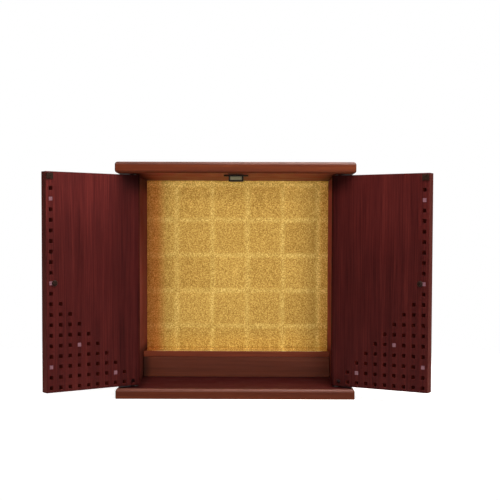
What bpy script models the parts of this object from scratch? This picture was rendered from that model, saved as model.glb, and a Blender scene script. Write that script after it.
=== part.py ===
"""Household altar cabinet: a small open-fronted box with two pivoting doors.

All sizes are metres, +Z is up and the front faces -Y. The origin is the centre of
the base slab's underside. Both doors stand open, at the angles named below.
"""

from math import cos, pi, radians, sin

import bmesh
import bpy
from mathutils import Matrix, Vector

# Cabinet
CABINET_WIDTH = 0.300
CABINET_DEPTH = 0.180
CLEAR_HEIGHT = 0.2694
BASE_THICKNESS = 0.0128
TOP_THICKNESS = 0.0142
SLAB_ROUNDING = 0.0035
SLAB_CORNER_ROUNDING = 0.0012
SLAB_SIDE_OVERHANG = 0.0155
SLAB_REAR_OVERHANG = 0.003
WALL_THICKNESS = 0.0072
BACK_BOARD_THICKNESS = 0.0045
GOLD_PANEL_THICKNESS = 0.002
JOINT_GAP = 0.0003

# Step
STEP_DEPTH = 0.0555
STEP_HEIGHT = 0.036
STEP_TOP_THICKNESS = 0.0085
STEP_RISER_THICKNESS = 0.009
STEP_NOSING = 0.0003
STEP_END_CLEARANCE = 0.001

# Doors
DOOR_THICKNESS = 0.012
DOOR_SETBACK = 0.0185
DOOR_EDGE_INSET = 0.001
DOOR_MEETING_GAP = 0.001
DOOR_LOWER_GAP = 0.0022
DOOR_UPPER_GAP = 0.0015
DOOR_WALL_CLEARANCE = 0.0007
LEFT_DOOR_OPENING = radians(142.3)
RIGHT_DOOR_OPENING = radians(149.0)

# Square holes, counted from the top row and from the free edge
HOLE_SIDE = 0.005
HOLE_PITCH = 0.01263
HOLE_EDGE_MARGIN = 0.0064
HOLE_FOOT_MARGIN = 0.0057
HOLE_ROWS = 20
SINGLE_HOLE_ROWS = 10
PEARL_CELLS = ((2, 1), (10, 1), (16, 4), (18, 1), (19, 8))
PLUG_CLEARANCE = 0.0003
PLUG_SINK = 0.0001

# Pivots
PIN_RADIUS = 0.0015
PIN_CLEARANCE = 0.0003
PIN_DEPTH_IN_DOOR = 0.009
PIN_DEPTH_IN_SLAB = 0.007
WASHER_RADIUS = 0.004

# Knobs
KNOB_FROM_FREE_EDGE = 0.011
KNOB_ROW = 10
KNOB_BASE_RADIUS = 0.0048
KNOB_NECK_RADIUS = 0.003
KNOB_HEAD_RADIUS = 0.0065
KNOB_FOOT_HEIGHT = 0.0014
KNOB_FOOT_TAPER = 0.0011
KNOB_NECK_LENGTH = 0.0034
KNOB_UNDERCUT_HEIGHT = 0.0039
KNOB_CROWN_HEIGHT = 0.0042
KNOB_SCREW_RADIUS = 0.0013
KNOB_SCREW_REACH = 0.007
KNOB_SCREW_HEAD_RADIUS = 0.003
KNOB_SCREW_HEAD_HEIGHT = 0.0018

# Magnetic catch and its strike plates
CATCH_BODY_WIDTH = 0.0185
CATCH_EAR_SPAN = 0.031
CATCH_EAR_THICKNESS = 0.0014
CATCH_HEIGHT = 0.008
CATCH_DEPTH = 0.012
CATCH_FRAME = 0.0014
CATCH_POCKET_DEPTH = 0.008
CATCH_SCREW_RADIUS = 0.0009
CATCH_SCREW_HEAD_RADIUS = 0.0018
CATCH_SCREW_LENGTH = 0.008
STRIKE_WIDTH = 0.009
STRIKE_HEIGHT = 0.0074
STRIKE_THICKNESS = 0.0008
STRIKE_EDGE_MARGIN = 0.0004
STRIKE_TOP_MARGIN = 0.0016
STRIKE_GAP = 0.0004

# Places that follow from the sizes above
FRONT_Y = -CABINET_DEPTH / 2
CEILING_Z = BASE_THICKNESS + CLEAR_HEIGHT
WALL_OUTER_X = CABINET_WIDTH / 2 - SLAB_SIDE_OVERHANG
WALL_INNER_X = WALL_OUTER_X - WALL_THICKNESS
WALL_REAR_Y = CABINET_DEPTH / 2 - SLAB_REAR_OVERHANG
PIVOT_X = WALL_OUTER_X - DOOR_EDGE_INSET - DOOR_THICKNESS / 2
PIVOT_Y = FRONT_Y + DOOR_SETBACK + DOOR_THICKNESS / 2
DOOR_INNER_Y = PIVOT_Y + DOOR_THICKNESS / 2
WALL_FRONT_Y = DOOR_INNER_Y + DOOR_WALL_CLEARANCE
DOOR_REACH = PIVOT_X - DOOR_MEETING_GAP / 2
DOOR_BOTTOM_Z = BASE_THICKNESS + DOOR_LOWER_GAP
DOOR_TOP_Z = CEILING_Z - DOOR_UPPER_GAP
GOLD_FACE_Y = WALL_REAR_Y - BACK_BOARD_THICKNESS - JOINT_GAP - GOLD_PANEL_THICKNESS
STEP_TOP_Z = BASE_THICKNESS + STEP_HEIGHT
STEP_FRONT_Y = GOLD_FACE_Y - JOINT_GAP - STEP_DEPTH
CATCH_FRONT_Y = DOOR_INNER_Y + JOINT_GAP + STRIKE_THICKNESS + STRIKE_GAP
CUT_MARGIN = 0.001

# Facets and shading
ROUND_STEPS = 24
HINGE_EDGE_STEPS = 12
KNOB_CROWN_STEPS = 6
SCREW_DOME_STEPS = 5
ROUNDING_SEGMENTS = 3
MERGE_DISTANCE = 1e-6
SHARP_ANGLE = radians(32)

PARTS = "household_altar_cabinet"
CUTTERS = "cutters"

FINISHES = {
    "orange_rosewood": ((0.205, 0.047, 0.020), 0.38, 0.0),
    "dark_rosewood": ((0.066, 0.013, 0.011), 0.42, 0.0),
    "plain_board": ((0.110, 0.036, 0.018), 0.62, 0.0),
    "gold_paper": ((0.560, 0.330, 0.080), 0.42, 0.75),
    "pearl": ((0.640, 0.430, 0.470), 0.28, 0.0),
    "black_plastic": ((0.012, 0.011, 0.010), 0.45, 0.0),
    "black_steel": ((0.022, 0.020, 0.018), 0.40, 0.6),
    "nickel": ((0.330, 0.320, 0.280), 0.38, 0.9),
    "pin_steel": ((0.420, 0.410, 0.390), 0.35, 1.0),
}


def clear_scene():
    """Removes every object and collection that the scene starts with."""
    for item in list(bpy.data.objects):
        bpy.data.objects.remove(item, do_unlink=True)
    for group in list(bpy.data.collections):
        bpy.data.collections.remove(group)


def new_collection(name):
    """Adds an empty collection to the scene."""
    group = bpy.data.collections.new(name)
    bpy.context.scene.collection.children.link(group)
    return group


def finish(name):
    """Returns the Principled material of that name, made on first use."""
    existing = bpy.data.materials.get(name)
    if existing is not None:
        return existing
    colour, roughness, metallic = FINISHES[name]
    material = bpy.data.materials.new(name)
    material.use_nodes = True
    shader = material.node_tree.nodes["Principled BSDF"]
    shader.inputs["Base Color"].default_value = (*colour, 1.0)
    shader.inputs["Roughness"].default_value = roughness
    shader.inputs["Metallic"].default_value = metallic
    return material


def add_piece(name, mesh, finish_name, parent=None):
    """Puts a mesh in the parts collection as one named piece."""
    piece = bpy.data.objects.new(name, mesh)
    bpy.data.collections[PARTS].objects.link(piece)
    mesh.materials.append(finish(finish_name))
    piece.parent = parent
    return piece


def add_cutter(name, mesh, parent=None):
    """Puts a mesh in the cutters collection, drawn as wire only."""
    cutter = bpy.data.objects.new(name, mesh)
    bpy.data.collections[CUTTERS].objects.link(cutter)
    cutter.hide_render = True
    cutter.display_type = "WIRE"
    cutter.parent = parent
    return cutter


def combine(piece, other, operation):
    """Adds a Boolean of that operation to the piece."""
    step = piece.modifiers.new(other.name, "BOOLEAN")
    step.operation = operation
    step.solver = "EXACT"
    step.object = other


def cut(piece, cutter):
    """Takes the cutter's volume out of the piece."""
    combine(piece, cutter, "DIFFERENCE")


def join(piece, lump):
    """Makes the piece and the lump one body."""
    combine(piece, lump, "UNION")


def mesh_from(name, shape):
    """Turns a finished bmesh into mesh data and frees it."""
    bmesh.ops.recalc_face_normals(shape, faces=shape.faces)
    mesh = bpy.data.meshes.new(name)
    shape.to_mesh(mesh)
    shape.free()
    return mesh


def add_box(shape, low, high):
    """Adds a box between two corners to a bmesh."""
    low, high = Vector(low), Vector(high)
    place = Matrix.Translation((low + high) / 2) @ Matrix.Diagonal((*(high - low), 1.0))
    bmesh.ops.create_cube(shape, size=1.0, matrix=place)


def box_mesh(name, low, high):
    """Returns mesh data of one box between two corners."""
    shape = bmesh.new()
    add_box(shape, low, high)
    return mesh_from(name, shape)


def add_rod(shape, radius, low_z, high_z, x=0.0, y=0.0):
    """Adds an upright round rod to a bmesh."""
    place = Matrix.Translation((x, y, (low_z + high_z) / 2))
    bmesh.ops.create_cone(shape, cap_ends=True, segments=ROUND_STEPS, radius1=radius, radius2=radius,
                          depth=high_z - low_z, matrix=place)


def outline_mesh(name, points, thickness):
    """Extrudes a flat outline symmetrically about its own plane."""
    curve = bpy.data.curves.new(name, "CURVE")
    curve.dimensions = "2D"
    curve.fill_mode = "BOTH"
    curve.extrude = thickness / 2
    spline = curve.splines.new("POLY")
    spline.points.add(len(points) - 1)
    for point, (x, y) in zip(spline.points, points):
        point.co = (x, y, 0.0, 1.0)
    spline.use_cyclic_u = True
    guide = bpy.data.objects.new(name, curve)
    bpy.context.scene.collection.objects.link(guide)
    evaluated = guide.evaluated_get(bpy.context.evaluated_depsgraph_get())
    raised = bpy.data.meshes.new_from_object(evaluated)
    shape = bmesh.new()
    shape.from_mesh(raised)
    bmesh.ops.remove_doubles(shape, verts=shape.verts, dist=MERGE_DISTANCE)
    bpy.data.objects.remove(guide, do_unlink=True)
    bpy.data.curves.remove(curve)
    bpy.data.meshes.remove(raised)
    return mesh_from(name, shape)


def turned_piece(name, profile, finish_name, parent=None):
    """Spins a profile of (radius, height) points about its own Z axis.

    The profile starts on the axis at the top and runs down the outer side.
    """
    shape = bmesh.new()
    rim = [shape.verts.new((radius, 0.0, height)) for radius, height in profile]
    for start, end in zip(rim, rim[1:]):
        shape.edges.new((start, end))
    mesh = bpy.data.meshes.new(name)
    shape.to_mesh(mesh)
    shape.free()
    piece = add_piece(name, mesh, finish_name, parent)
    spin = piece.modifiers.new("turn", "SCREW")
    spin.axis = "Z"
    spin.steps = ROUND_STEPS
    spin.render_steps = ROUND_STEPS
    spin.use_merge_vertices = True
    spin.merge_threshold = MERGE_DISTANCE
    return piece


def arc(centre, radius, start, end, steps):
    """Points along an arc, both ends included."""
    turns = [start + (end - start) * step / steps for step in range(steps + 1)]
    return [(centre[0] + radius * cos(turn), centre[1] + radius * sin(turn)) for turn in turns]


# Slabs, walls and back

def round_edges(piece, wanted):
    """Rounds the edges for which wanted() gives a share of SLAB_ROUNDING."""
    weights = piece.data.attributes.new("bevel_weight_edge", "FLOAT", "EDGE")
    for edge in piece.data.edges:
        ends = [piece.data.vertices[index].co for index in edge.vertices]
        weights.data[edge.index].value = wanted((ends[0] + ends[1]) / 2, ends[1] - ends[0])
    bevel = piece.modifiers.new("rounding", "BEVEL")
    bevel.limit_method = "WEIGHT"
    bevel.width = SLAB_ROUNDING
    bevel.segments = ROUNDING_SEGMENTS


def slab(name, low_z, high_z, lower_edges_too):
    """Makes a slab, rounded along its front and ends and left square behind."""
    low = (-CABINET_WIDTH / 2, FRONT_Y, low_z)
    high = (CABINET_WIDTH / 2, -FRONT_Y, high_z)
    piece = add_piece(name, box_mesh(name, low, high), "orange_rosewood")

    def share(middle, run):
        upright = abs(run.z) > 0
        at_rear = middle.y > -FRONT_Y - CUT_MARGIN
        if upright:
            return 0.0 if at_rear else SLAB_CORNER_ROUNDING / SLAB_ROUNDING
        at_top = middle.z > (low_z + high_z) / 2
        return float(not at_rear and (at_top or lower_edges_too))

    round_edges(piece, share)
    return piece


def pin_bores(name, low_z, high_z):
    """A cutter for the two pivot pins between two heights."""
    shape = bmesh.new()
    for side in (-1, 1):
        add_rod(shape, PIN_RADIUS + PIN_CLEARANCE, low_z, high_z, side * PIVOT_X, PIVOT_Y)
    return add_cutter(name, mesh_from(name, shape))


def build_slabs():
    """The base with its two pin bores, and the top with pin and catch screw bores."""
    base = slab("base_slab", 0.0, BASE_THICKNESS, False)
    cut(base, pin_bores("base_pin_bores", BASE_THICKNESS - PIN_DEPTH_IN_SLAB - PIN_CLEARANCE,
                        BASE_THICKNESS + CUT_MARGIN))
    top = slab("top_slab", CEILING_Z, CEILING_Z + TOP_THICKNESS, True)
    cut(top, pin_bores("top_pin_bores", CEILING_Z - CUT_MARGIN,
                       CEILING_Z + PIN_DEPTH_IN_SLAB + PIN_CLEARANCE))
    shape = bmesh.new()
    for x in catch_screw_places():
        add_rod(shape, CATCH_SCREW_RADIUS + PIN_CLEARANCE, CEILING_Z - CUT_MARGIN,
                CEILING_Z + CATCH_SCREW_LENGTH, x, CATCH_FRONT_Y + CATCH_DEPTH / 2)
    cut(top, add_cutter("catch_screw_bores", mesh_from("catch_screw_bores", shape)))


def build_walls():
    """Side walls, back board and gold-papered panel, all standing between the slabs."""
    foot = BASE_THICKNESS + JOINT_GAP
    head = CEILING_Z - JOINT_GAP
    for side, name in ((-1, "side_wall_left"), (1, "side_wall_right")):
        near, far = sorted((side * WALL_INNER_X, side * WALL_OUTER_X))
        mesh = box_mesh(name, (near, WALL_FRONT_Y, foot), (far, WALL_REAR_Y, head))
        add_piece(name, mesh, "dark_rosewood")
    half = WALL_INNER_X - JOINT_GAP
    board_y = WALL_REAR_Y - BACK_BOARD_THICKNESS
    board = box_mesh("back_board", (-half, board_y, foot), (half, WALL_REAR_Y, head))
    add_piece("back_board", board, "plain_board")
    gold_rear_y = GOLD_FACE_Y + GOLD_PANEL_THICKNESS
    gold = box_mesh("gold_panel", (-half, GOLD_FACE_Y, foot), (half, gold_rear_y, head))
    add_piece("gold_panel", gold, "gold_paper")


def build_step():
    """The step: an upright riser under a top board whose upper face is papered in gold."""
    half = WALL_INNER_X - STEP_END_CLEARANCE
    board_low = STEP_TOP_Z - STEP_TOP_THICKNESS
    riser_y = STEP_FRONT_Y + STEP_NOSING
    riser = box_mesh("step_riser", (-half, riser_y, BASE_THICKNESS + JOINT_GAP),
                     (half, riser_y + STEP_RISER_THICKNESS, board_low - JOINT_GAP))
    add_piece("step_riser", riser, "orange_rosewood")
    board_rear_y = GOLD_FACE_Y - JOINT_GAP
    board = box_mesh("step_top", (-half, STEP_FRONT_Y, board_low), (half, board_rear_y, STEP_TOP_Z))
    add_piece("step_top", board, "gold_paper")


# Doors

def hole_place(row, column):
    """Centre of a square hole: distance from the pivot axis, and height."""
    reach = DOOR_REACH - HOLE_EDGE_MARGIN - (column - 1) * HOLE_PITCH
    height = DOOR_BOTTOM_Z + HOLE_FOOT_MARGIN + (HOLE_ROWS - row) * HOLE_PITCH
    return reach, height


def hole_cells():
    """All (row, column) places: one column above, a widening triangle below."""
    for row in range(1, HOLE_ROWS + 1):
        for column in range(1, max(1, row - SINGLE_HOLE_ROWS) + 1):
            yield row, column


def door_outline(side):
    """Plan of a door about its pivot: a half-round hinge edge and a square free edge."""
    half = DOOR_THICKNESS / 2
    hinge_edge = arc((0.0, 0.0), half, pi / 2, 3 * pi / 2, HINGE_EDGE_STEPS)
    corners = [(DOOR_REACH, -half), (DOOR_REACH, half)]
    return [(side * x, y) for x, y in hinge_edge + corners]


def lattice_mesh(name, side):
    """Square prisms at every hole, running past both faces of the door."""
    shape = bmesh.new()
    half = DOOR_THICKNESS / 2 + CUT_MARGIN
    for row, column in hole_cells():
        reach, height = hole_place(row, column)
        low = (side * reach - HOLE_SIDE / 2, -half, height - HOLE_SIDE / 2)
        high = (side * reach + HOLE_SIDE / 2, half, height + HOLE_SIDE / 2)
        add_box(shape, low, high)
    return mesh_from(name, shape)


def door_bores_mesh(name):
    """Blind bores for the two pins, at the door's foot and head."""
    shape = bmesh.new()
    radius = PIN_RADIUS + PIN_CLEARANCE
    depth = PIN_DEPTH_IN_DOOR + PIN_CLEARANCE
    add_rod(shape, radius, DOOR_BOTTOM_Z - CUT_MARGIN, DOOR_BOTTOM_Z + depth)
    add_rod(shape, radius, DOOR_TOP_Z - depth, DOOR_TOP_Z + CUT_MARGIN)
    return mesh_from(name, shape)


def build_door(word, side, opening):
    """One door with everything that turns on its pivot axis."""
    pivot = bpy.data.objects.new(word + "_pivot", None)
    bpy.data.collections[PARTS].objects.link(pivot)
    pivot.location = (-side * PIVOT_X, PIVOT_Y, 0.0)
    pivot.rotation_euler.z = -side * opening

    mesh = outline_mesh("door_" + word, door_outline(side), DOOR_TOP_Z - DOOR_BOTTOM_Z)
    mesh.transform(Matrix.Translation((0.0, 0.0, (DOOR_TOP_Z + DOOR_BOTTOM_Z) / 2)))
    door = add_piece("door_" + word, mesh, "dark_rosewood", pivot)
    lattice_name = "lattice_" + word
    cut(door, add_cutter(lattice_name, lattice_mesh(lattice_name, side), pivot))
    bores_name = "door_bores_" + word
    cut(door, add_cutter(bores_name, door_bores_mesh(bores_name), pivot))

    build_plugs(word, side, pivot)
    build_knob(word, side, pivot, door)
    build_strike(word, side, pivot)


def build_plugs(word, side, pivot):
    """Pearl-faced plugs, flush with both faces, in the chosen holes."""
    half_side = HOLE_SIDE / 2 - PLUG_CLEARANCE
    half_length = DOOR_THICKNESS / 2 - PLUG_SINK
    for number, cell in enumerate(PEARL_CELLS, start=1):
        reach, height = hole_place(*cell)
        name = "inlay_%s_%d" % (word, number)
        middle = Vector((side * reach, 0.0, height))
        size = Vector((half_side, half_length, half_side))
        add_piece(name, box_mesh(name, middle - size, middle + size), "pearl", pivot)


def dome(radius, height, base_z, steps):
    """Profile of a half-oval dome, from its top on the axis down to its rim."""
    quarter = arc((0.0, 0.0), 1.0, pi / 2, 0.0, steps)
    points = [(radius * x, base_z + height * y) for x, y in quarter]
    points[0] = (0.0, base_z + height)
    return points


def knob_profile():
    """Knob seen from the side, from its crown down to the bore for the screw."""
    bore = KNOB_SCREW_RADIUS + PIN_CLEARANCE
    neck_low = KNOB_FOOT_HEIGHT + KNOB_FOOT_TAPER
    neck_high = neck_low + KNOB_NECK_LENGTH
    rim_z = neck_high + KNOB_UNDERCUT_HEIGHT
    crown = dome(KNOB_HEAD_RADIUS, KNOB_CROWN_HEIGHT, rim_z, KNOB_CROWN_STEPS)
    neck = [(KNOB_NECK_RADIUS, neck_high), (KNOB_NECK_RADIUS, neck_low)]
    foot = [(KNOB_BASE_RADIUS, KNOB_FOOT_HEIGHT), (KNOB_BASE_RADIUS, 0.0)]
    hollow = [(bore, 0.0), (bore, KNOB_SCREW_REACH), (0.0, KNOB_SCREW_REACH)]
    return crown + neck + foot + hollow


def knob_screw_profile(shank_length):
    """Screw with a domed head above z = 0 and a plain shank below it."""
    head = dome(KNOB_SCREW_HEAD_RADIUS, KNOB_SCREW_HEAD_HEIGHT, 0.0, SCREW_DOME_STEPS)
    shank = [(KNOB_SCREW_RADIUS, 0.0), (KNOB_SCREW_RADIUS, -shank_length), (0.0, -shank_length)]
    return head + shank


def build_knob(word, side, pivot, door):
    """Turned knob on the outer face, held by a screw whose head is on the inner face."""
    reach = side * (DOOR_REACH - KNOB_FROM_FREE_EDGE)
    height = hole_place(KNOB_ROW, 1)[1]
    outer = -DOOR_THICKNESS / 2 - JOINT_GAP
    inner = DOOR_THICKNESS / 2 + JOINT_GAP

    knob = turned_piece("knob_" + word, knob_profile(), "black_steel", pivot)
    knob.location = (reach, outer, height)
    knob.rotation_euler.x = pi / 2

    shank = inner - outer + KNOB_SCREW_REACH - PIN_CLEARANCE
    screw = turned_piece("knob_screw_" + word, knob_screw_profile(shank), "black_steel", pivot)
    screw.location = (reach, inner, height)
    screw.rotation_euler.x = -pi / 2

    shape = bmesh.new()
    run = DOOR_THICKNESS / 2 + CUT_MARGIN
    add_rod(shape, KNOB_SCREW_RADIUS + PIN_CLEARANCE, -run, run)
    bore = add_cutter("knob_bore_" + word, mesh_from("knob_bore_" + word, shape), pivot)
    bore.location = (reach, 0.0, height)
    bore.rotation_euler.x = pi / 2
    cut(door, bore)


def build_strike(word, side, pivot):
    """Steel plate in the top free corner of the inner face, which the catch holds."""
    far = DOOR_REACH - STRIKE_EDGE_MARGIN
    high_z = DOOR_TOP_Z - STRIKE_TOP_MARGIN
    near_y = DOOR_THICKNESS / 2 + JOINT_GAP
    low_x, high_x = sorted((side * far, side * (far - STRIKE_WIDTH)))
    low = (low_x, near_y, high_z - STRIKE_HEIGHT)
    high = (high_x, near_y + STRIKE_THICKNESS, high_z)
    name = "strike_plate_" + word
    add_piece(name, box_mesh(name, low, high), "black_steel", pivot)


# Pivots and catch

def build_pivots():
    """Pins that stand in the slabs and reach into the doors, with a washer under each door."""
    for side, word in ((-1, "left"), (1, "right")):
        x = side * PIVOT_X
        spans = {"bottom": (BASE_THICKNESS - PIN_DEPTH_IN_SLAB, DOOR_BOTTOM_Z + PIN_DEPTH_IN_DOOR),
                 "top": (DOOR_TOP_Z - PIN_DEPTH_IN_DOOR, CEILING_Z + PIN_DEPTH_IN_SLAB)}
        for end, (low_z, high_z) in spans.items():
            name = "pivot_pin_%s_%s" % (word, end)
            shape = bmesh.new()
            add_rod(shape, PIN_RADIUS, low_z, high_z, x, PIVOT_Y)
            add_piece(name, mesh_from(name, shape), "pin_steel")
        build_washer("pivot_washer_" + word, x)


def build_washer(name, x):
    """Flat ring round the bottom pin, filling the gap between base and door."""
    low = BASE_THICKNESS + JOINT_GAP
    high = DOOR_BOTTOM_Z - JOINT_GAP
    shape = bmesh.new()
    add_rod(shape, WASHER_RADIUS, low, high, x, PIVOT_Y)
    washer = add_piece(name, mesh_from(name, shape), "pin_steel")
    shape = bmesh.new()
    add_rod(shape, PIN_RADIUS + PIN_CLEARANCE, low - CUT_MARGIN, high + CUT_MARGIN, x, PIVOT_Y)
    cut(washer, add_cutter(name + "_bore", mesh_from(name + "_bore", shape)))


def catch_screw_places():
    """The middles of the housing's two ears."""
    middle = (CATCH_EAR_SPAN + CATCH_BODY_WIDTH) / 4
    return (-middle, middle)


def build_catch():
    """Magnetic catch under the ceiling: housing, front block and two flush screws."""
    ceiling = CEILING_Z - JOINT_GAP
    middle_y = CATCH_FRONT_Y + CATCH_DEPTH / 2
    rear_y = CATCH_FRONT_Y + CATCH_DEPTH
    ear_low = (-CATCH_EAR_SPAN / 2, CATCH_FRONT_Y, ceiling - CATCH_EAR_THICKNESS)
    ears = box_mesh("catch_housing", ear_low, (CATCH_EAR_SPAN / 2, rear_y, ceiling))
    housing = add_piece("catch_housing", ears, "black_plastic")
    body_low = (-CATCH_BODY_WIDTH / 2, CATCH_FRONT_Y, ceiling - CATCH_HEIGHT)
    body = box_mesh("catch_body", body_low, (CATCH_BODY_WIDTH / 2, rear_y, ceiling))
    join(housing, add_cutter("catch_body", body))

    half = CATCH_BODY_WIDTH / 2 - CATCH_FRAME
    low_z = ceiling - CATCH_HEIGHT + CATCH_FRAME
    high_z = ceiling - CATCH_FRAME
    pocket = box_mesh("catch_pocket", (-half, CATCH_FRONT_Y - CUT_MARGIN, low_z),
                      (half, CATCH_FRONT_Y + CATCH_POCKET_DEPTH, high_z))
    cut(housing, add_cutter("catch_pocket", pocket))
    fit = Vector((JOINT_GAP, JOINT_GAP, JOINT_GAP))
    magnet = box_mesh("catch_magnet", Vector((-half, CATCH_FRONT_Y - JOINT_GAP, low_z)) + fit,
                      Vector((half, CATCH_FRONT_Y + CATCH_POCKET_DEPTH, high_z)) - fit)
    add_piece("catch_magnet", magnet, "nickel")

    shape = bmesh.new()
    for x in catch_screw_places():
        low = ceiling - CATCH_EAR_THICKNESS - CUT_MARGIN
        add_rod(shape, CATCH_SCREW_HEAD_RADIUS + JOINT_GAP, low, ceiling + CUT_MARGIN, x, middle_y)
    cut(housing, add_cutter("ear_holes", mesh_from("ear_holes", shape)))
    tip_z = CATCH_SCREW_LENGTH - PIN_CLEARANCE
    tip = [(0.0, tip_z), (CATCH_SCREW_RADIUS, tip_z), (CATCH_SCREW_RADIUS, 0.0)]
    head = [(CATCH_SCREW_HEAD_RADIUS, -CATCH_EAR_THICKNESS), (0.0, -CATCH_EAR_THICKNESS)]
    for x, word in zip(catch_screw_places(), ("left", "right")):
        screw = turned_piece("catch_screw_" + word, tip + head, "black_steel")
        screw.location = (x, middle_y, ceiling)


def smooth_round_pieces():
    """Shades the doors and pivots smooth, with their true edges kept sharp."""
    for piece in bpy.data.collections[PARTS].objects:
        if piece.name.startswith(("door", "pivot")):
            piece.data.shade_smooth()
            piece.data.set_sharp_from_angle(angle=SHARP_ANGLE)


def build():
    """Builds the whole cabinet."""
    clear_scene()
    new_collection(PARTS)
    new_collection(CUTTERS)
    build_slabs()
    build_walls()
    build_step()
    build_door("left", 1, LEFT_DOOR_OPENING)
    build_door("right", -1, RIGHT_DOOR_OPENING)
    build_pivots()
    build_catch()
    smooth_round_pieces()


build()
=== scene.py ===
"""Household altar cabinet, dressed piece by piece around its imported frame.

Sizes are metres, +Z is up and the open front faces -Y. Every board, leaf of gold,
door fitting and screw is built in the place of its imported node.
"""

from __future__ import annotations

import logging
from collections.abc import Iterable, Sequence
from dataclasses import dataclass, replace
from enum import Enum
from functools import cache
from math import cos, pi, radians, sin

import bmesh
import bpy
from mathutils import Matrix, Vector


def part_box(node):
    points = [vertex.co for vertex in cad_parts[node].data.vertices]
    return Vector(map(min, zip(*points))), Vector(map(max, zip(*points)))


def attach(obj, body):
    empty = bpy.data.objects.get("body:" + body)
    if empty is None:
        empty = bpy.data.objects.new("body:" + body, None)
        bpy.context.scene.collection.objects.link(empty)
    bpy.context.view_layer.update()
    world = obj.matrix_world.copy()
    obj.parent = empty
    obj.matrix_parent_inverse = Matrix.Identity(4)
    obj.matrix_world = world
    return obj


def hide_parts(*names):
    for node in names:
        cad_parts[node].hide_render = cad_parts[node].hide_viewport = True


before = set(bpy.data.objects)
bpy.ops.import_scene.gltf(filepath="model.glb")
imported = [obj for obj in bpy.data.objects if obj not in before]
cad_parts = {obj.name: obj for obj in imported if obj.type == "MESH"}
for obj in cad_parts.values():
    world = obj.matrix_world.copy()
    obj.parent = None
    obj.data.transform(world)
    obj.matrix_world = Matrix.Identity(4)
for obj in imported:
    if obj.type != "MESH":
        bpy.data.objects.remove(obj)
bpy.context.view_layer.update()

LOG = logging.getLogger("altar_cabinet")

Triple = tuple[float, float, float]
Colour = Triple
Span = tuple[float, float]
Point = Sequence[float]
Input = object
Node = bpy.types.Node
Socket = bpy.types.NodeSocket
Tree = bpy.types.NodeTree
Material = bpy.types.Material
Mesh = bpy.types.Mesh
Object = bpy.types.Object
Sockets = bpy.types.bpy_prop_collection

GRAIN = "grain"
LEAF_EDGE = "leaf_edge"
LEAF_TONE = "leaf_tone"
FROM_HINGE = "from_hinge"
WHITE = (1.0, 1.0, 1.0)
BLACK = (0.0, 0.0, 0.0)

# How far a cutter runs past what it cuts
OVERRUN = 0.001
# An edge that turns more than this stays sharp in the shading
SHARP_ANGLE = radians(32)
# An edge that turns more than this is rounded by easing
EASED_ANGLE = radians(40)
# A face is level, or upright, when the height of its normal is past these
LEVEL = 0.999
UPRIGHT = 0.001
# The bores that the pivot pins turn in
PIN_BORE_RADIUS = 0.0018
BORE_STEPS = 32


class Body(Enum):
    """The moving bodies of the frame."""

    CABINET = "cabinet"
    LEFT = "left_leaf"
    RIGHT = "right_leaf"


class Along(Enum):
    """Which of a board's own axes its grain runs along: the order in which its axes are read."""

    X = (0, 1, 2)
    Z = (2, 0, 1)


# Node trees

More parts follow.
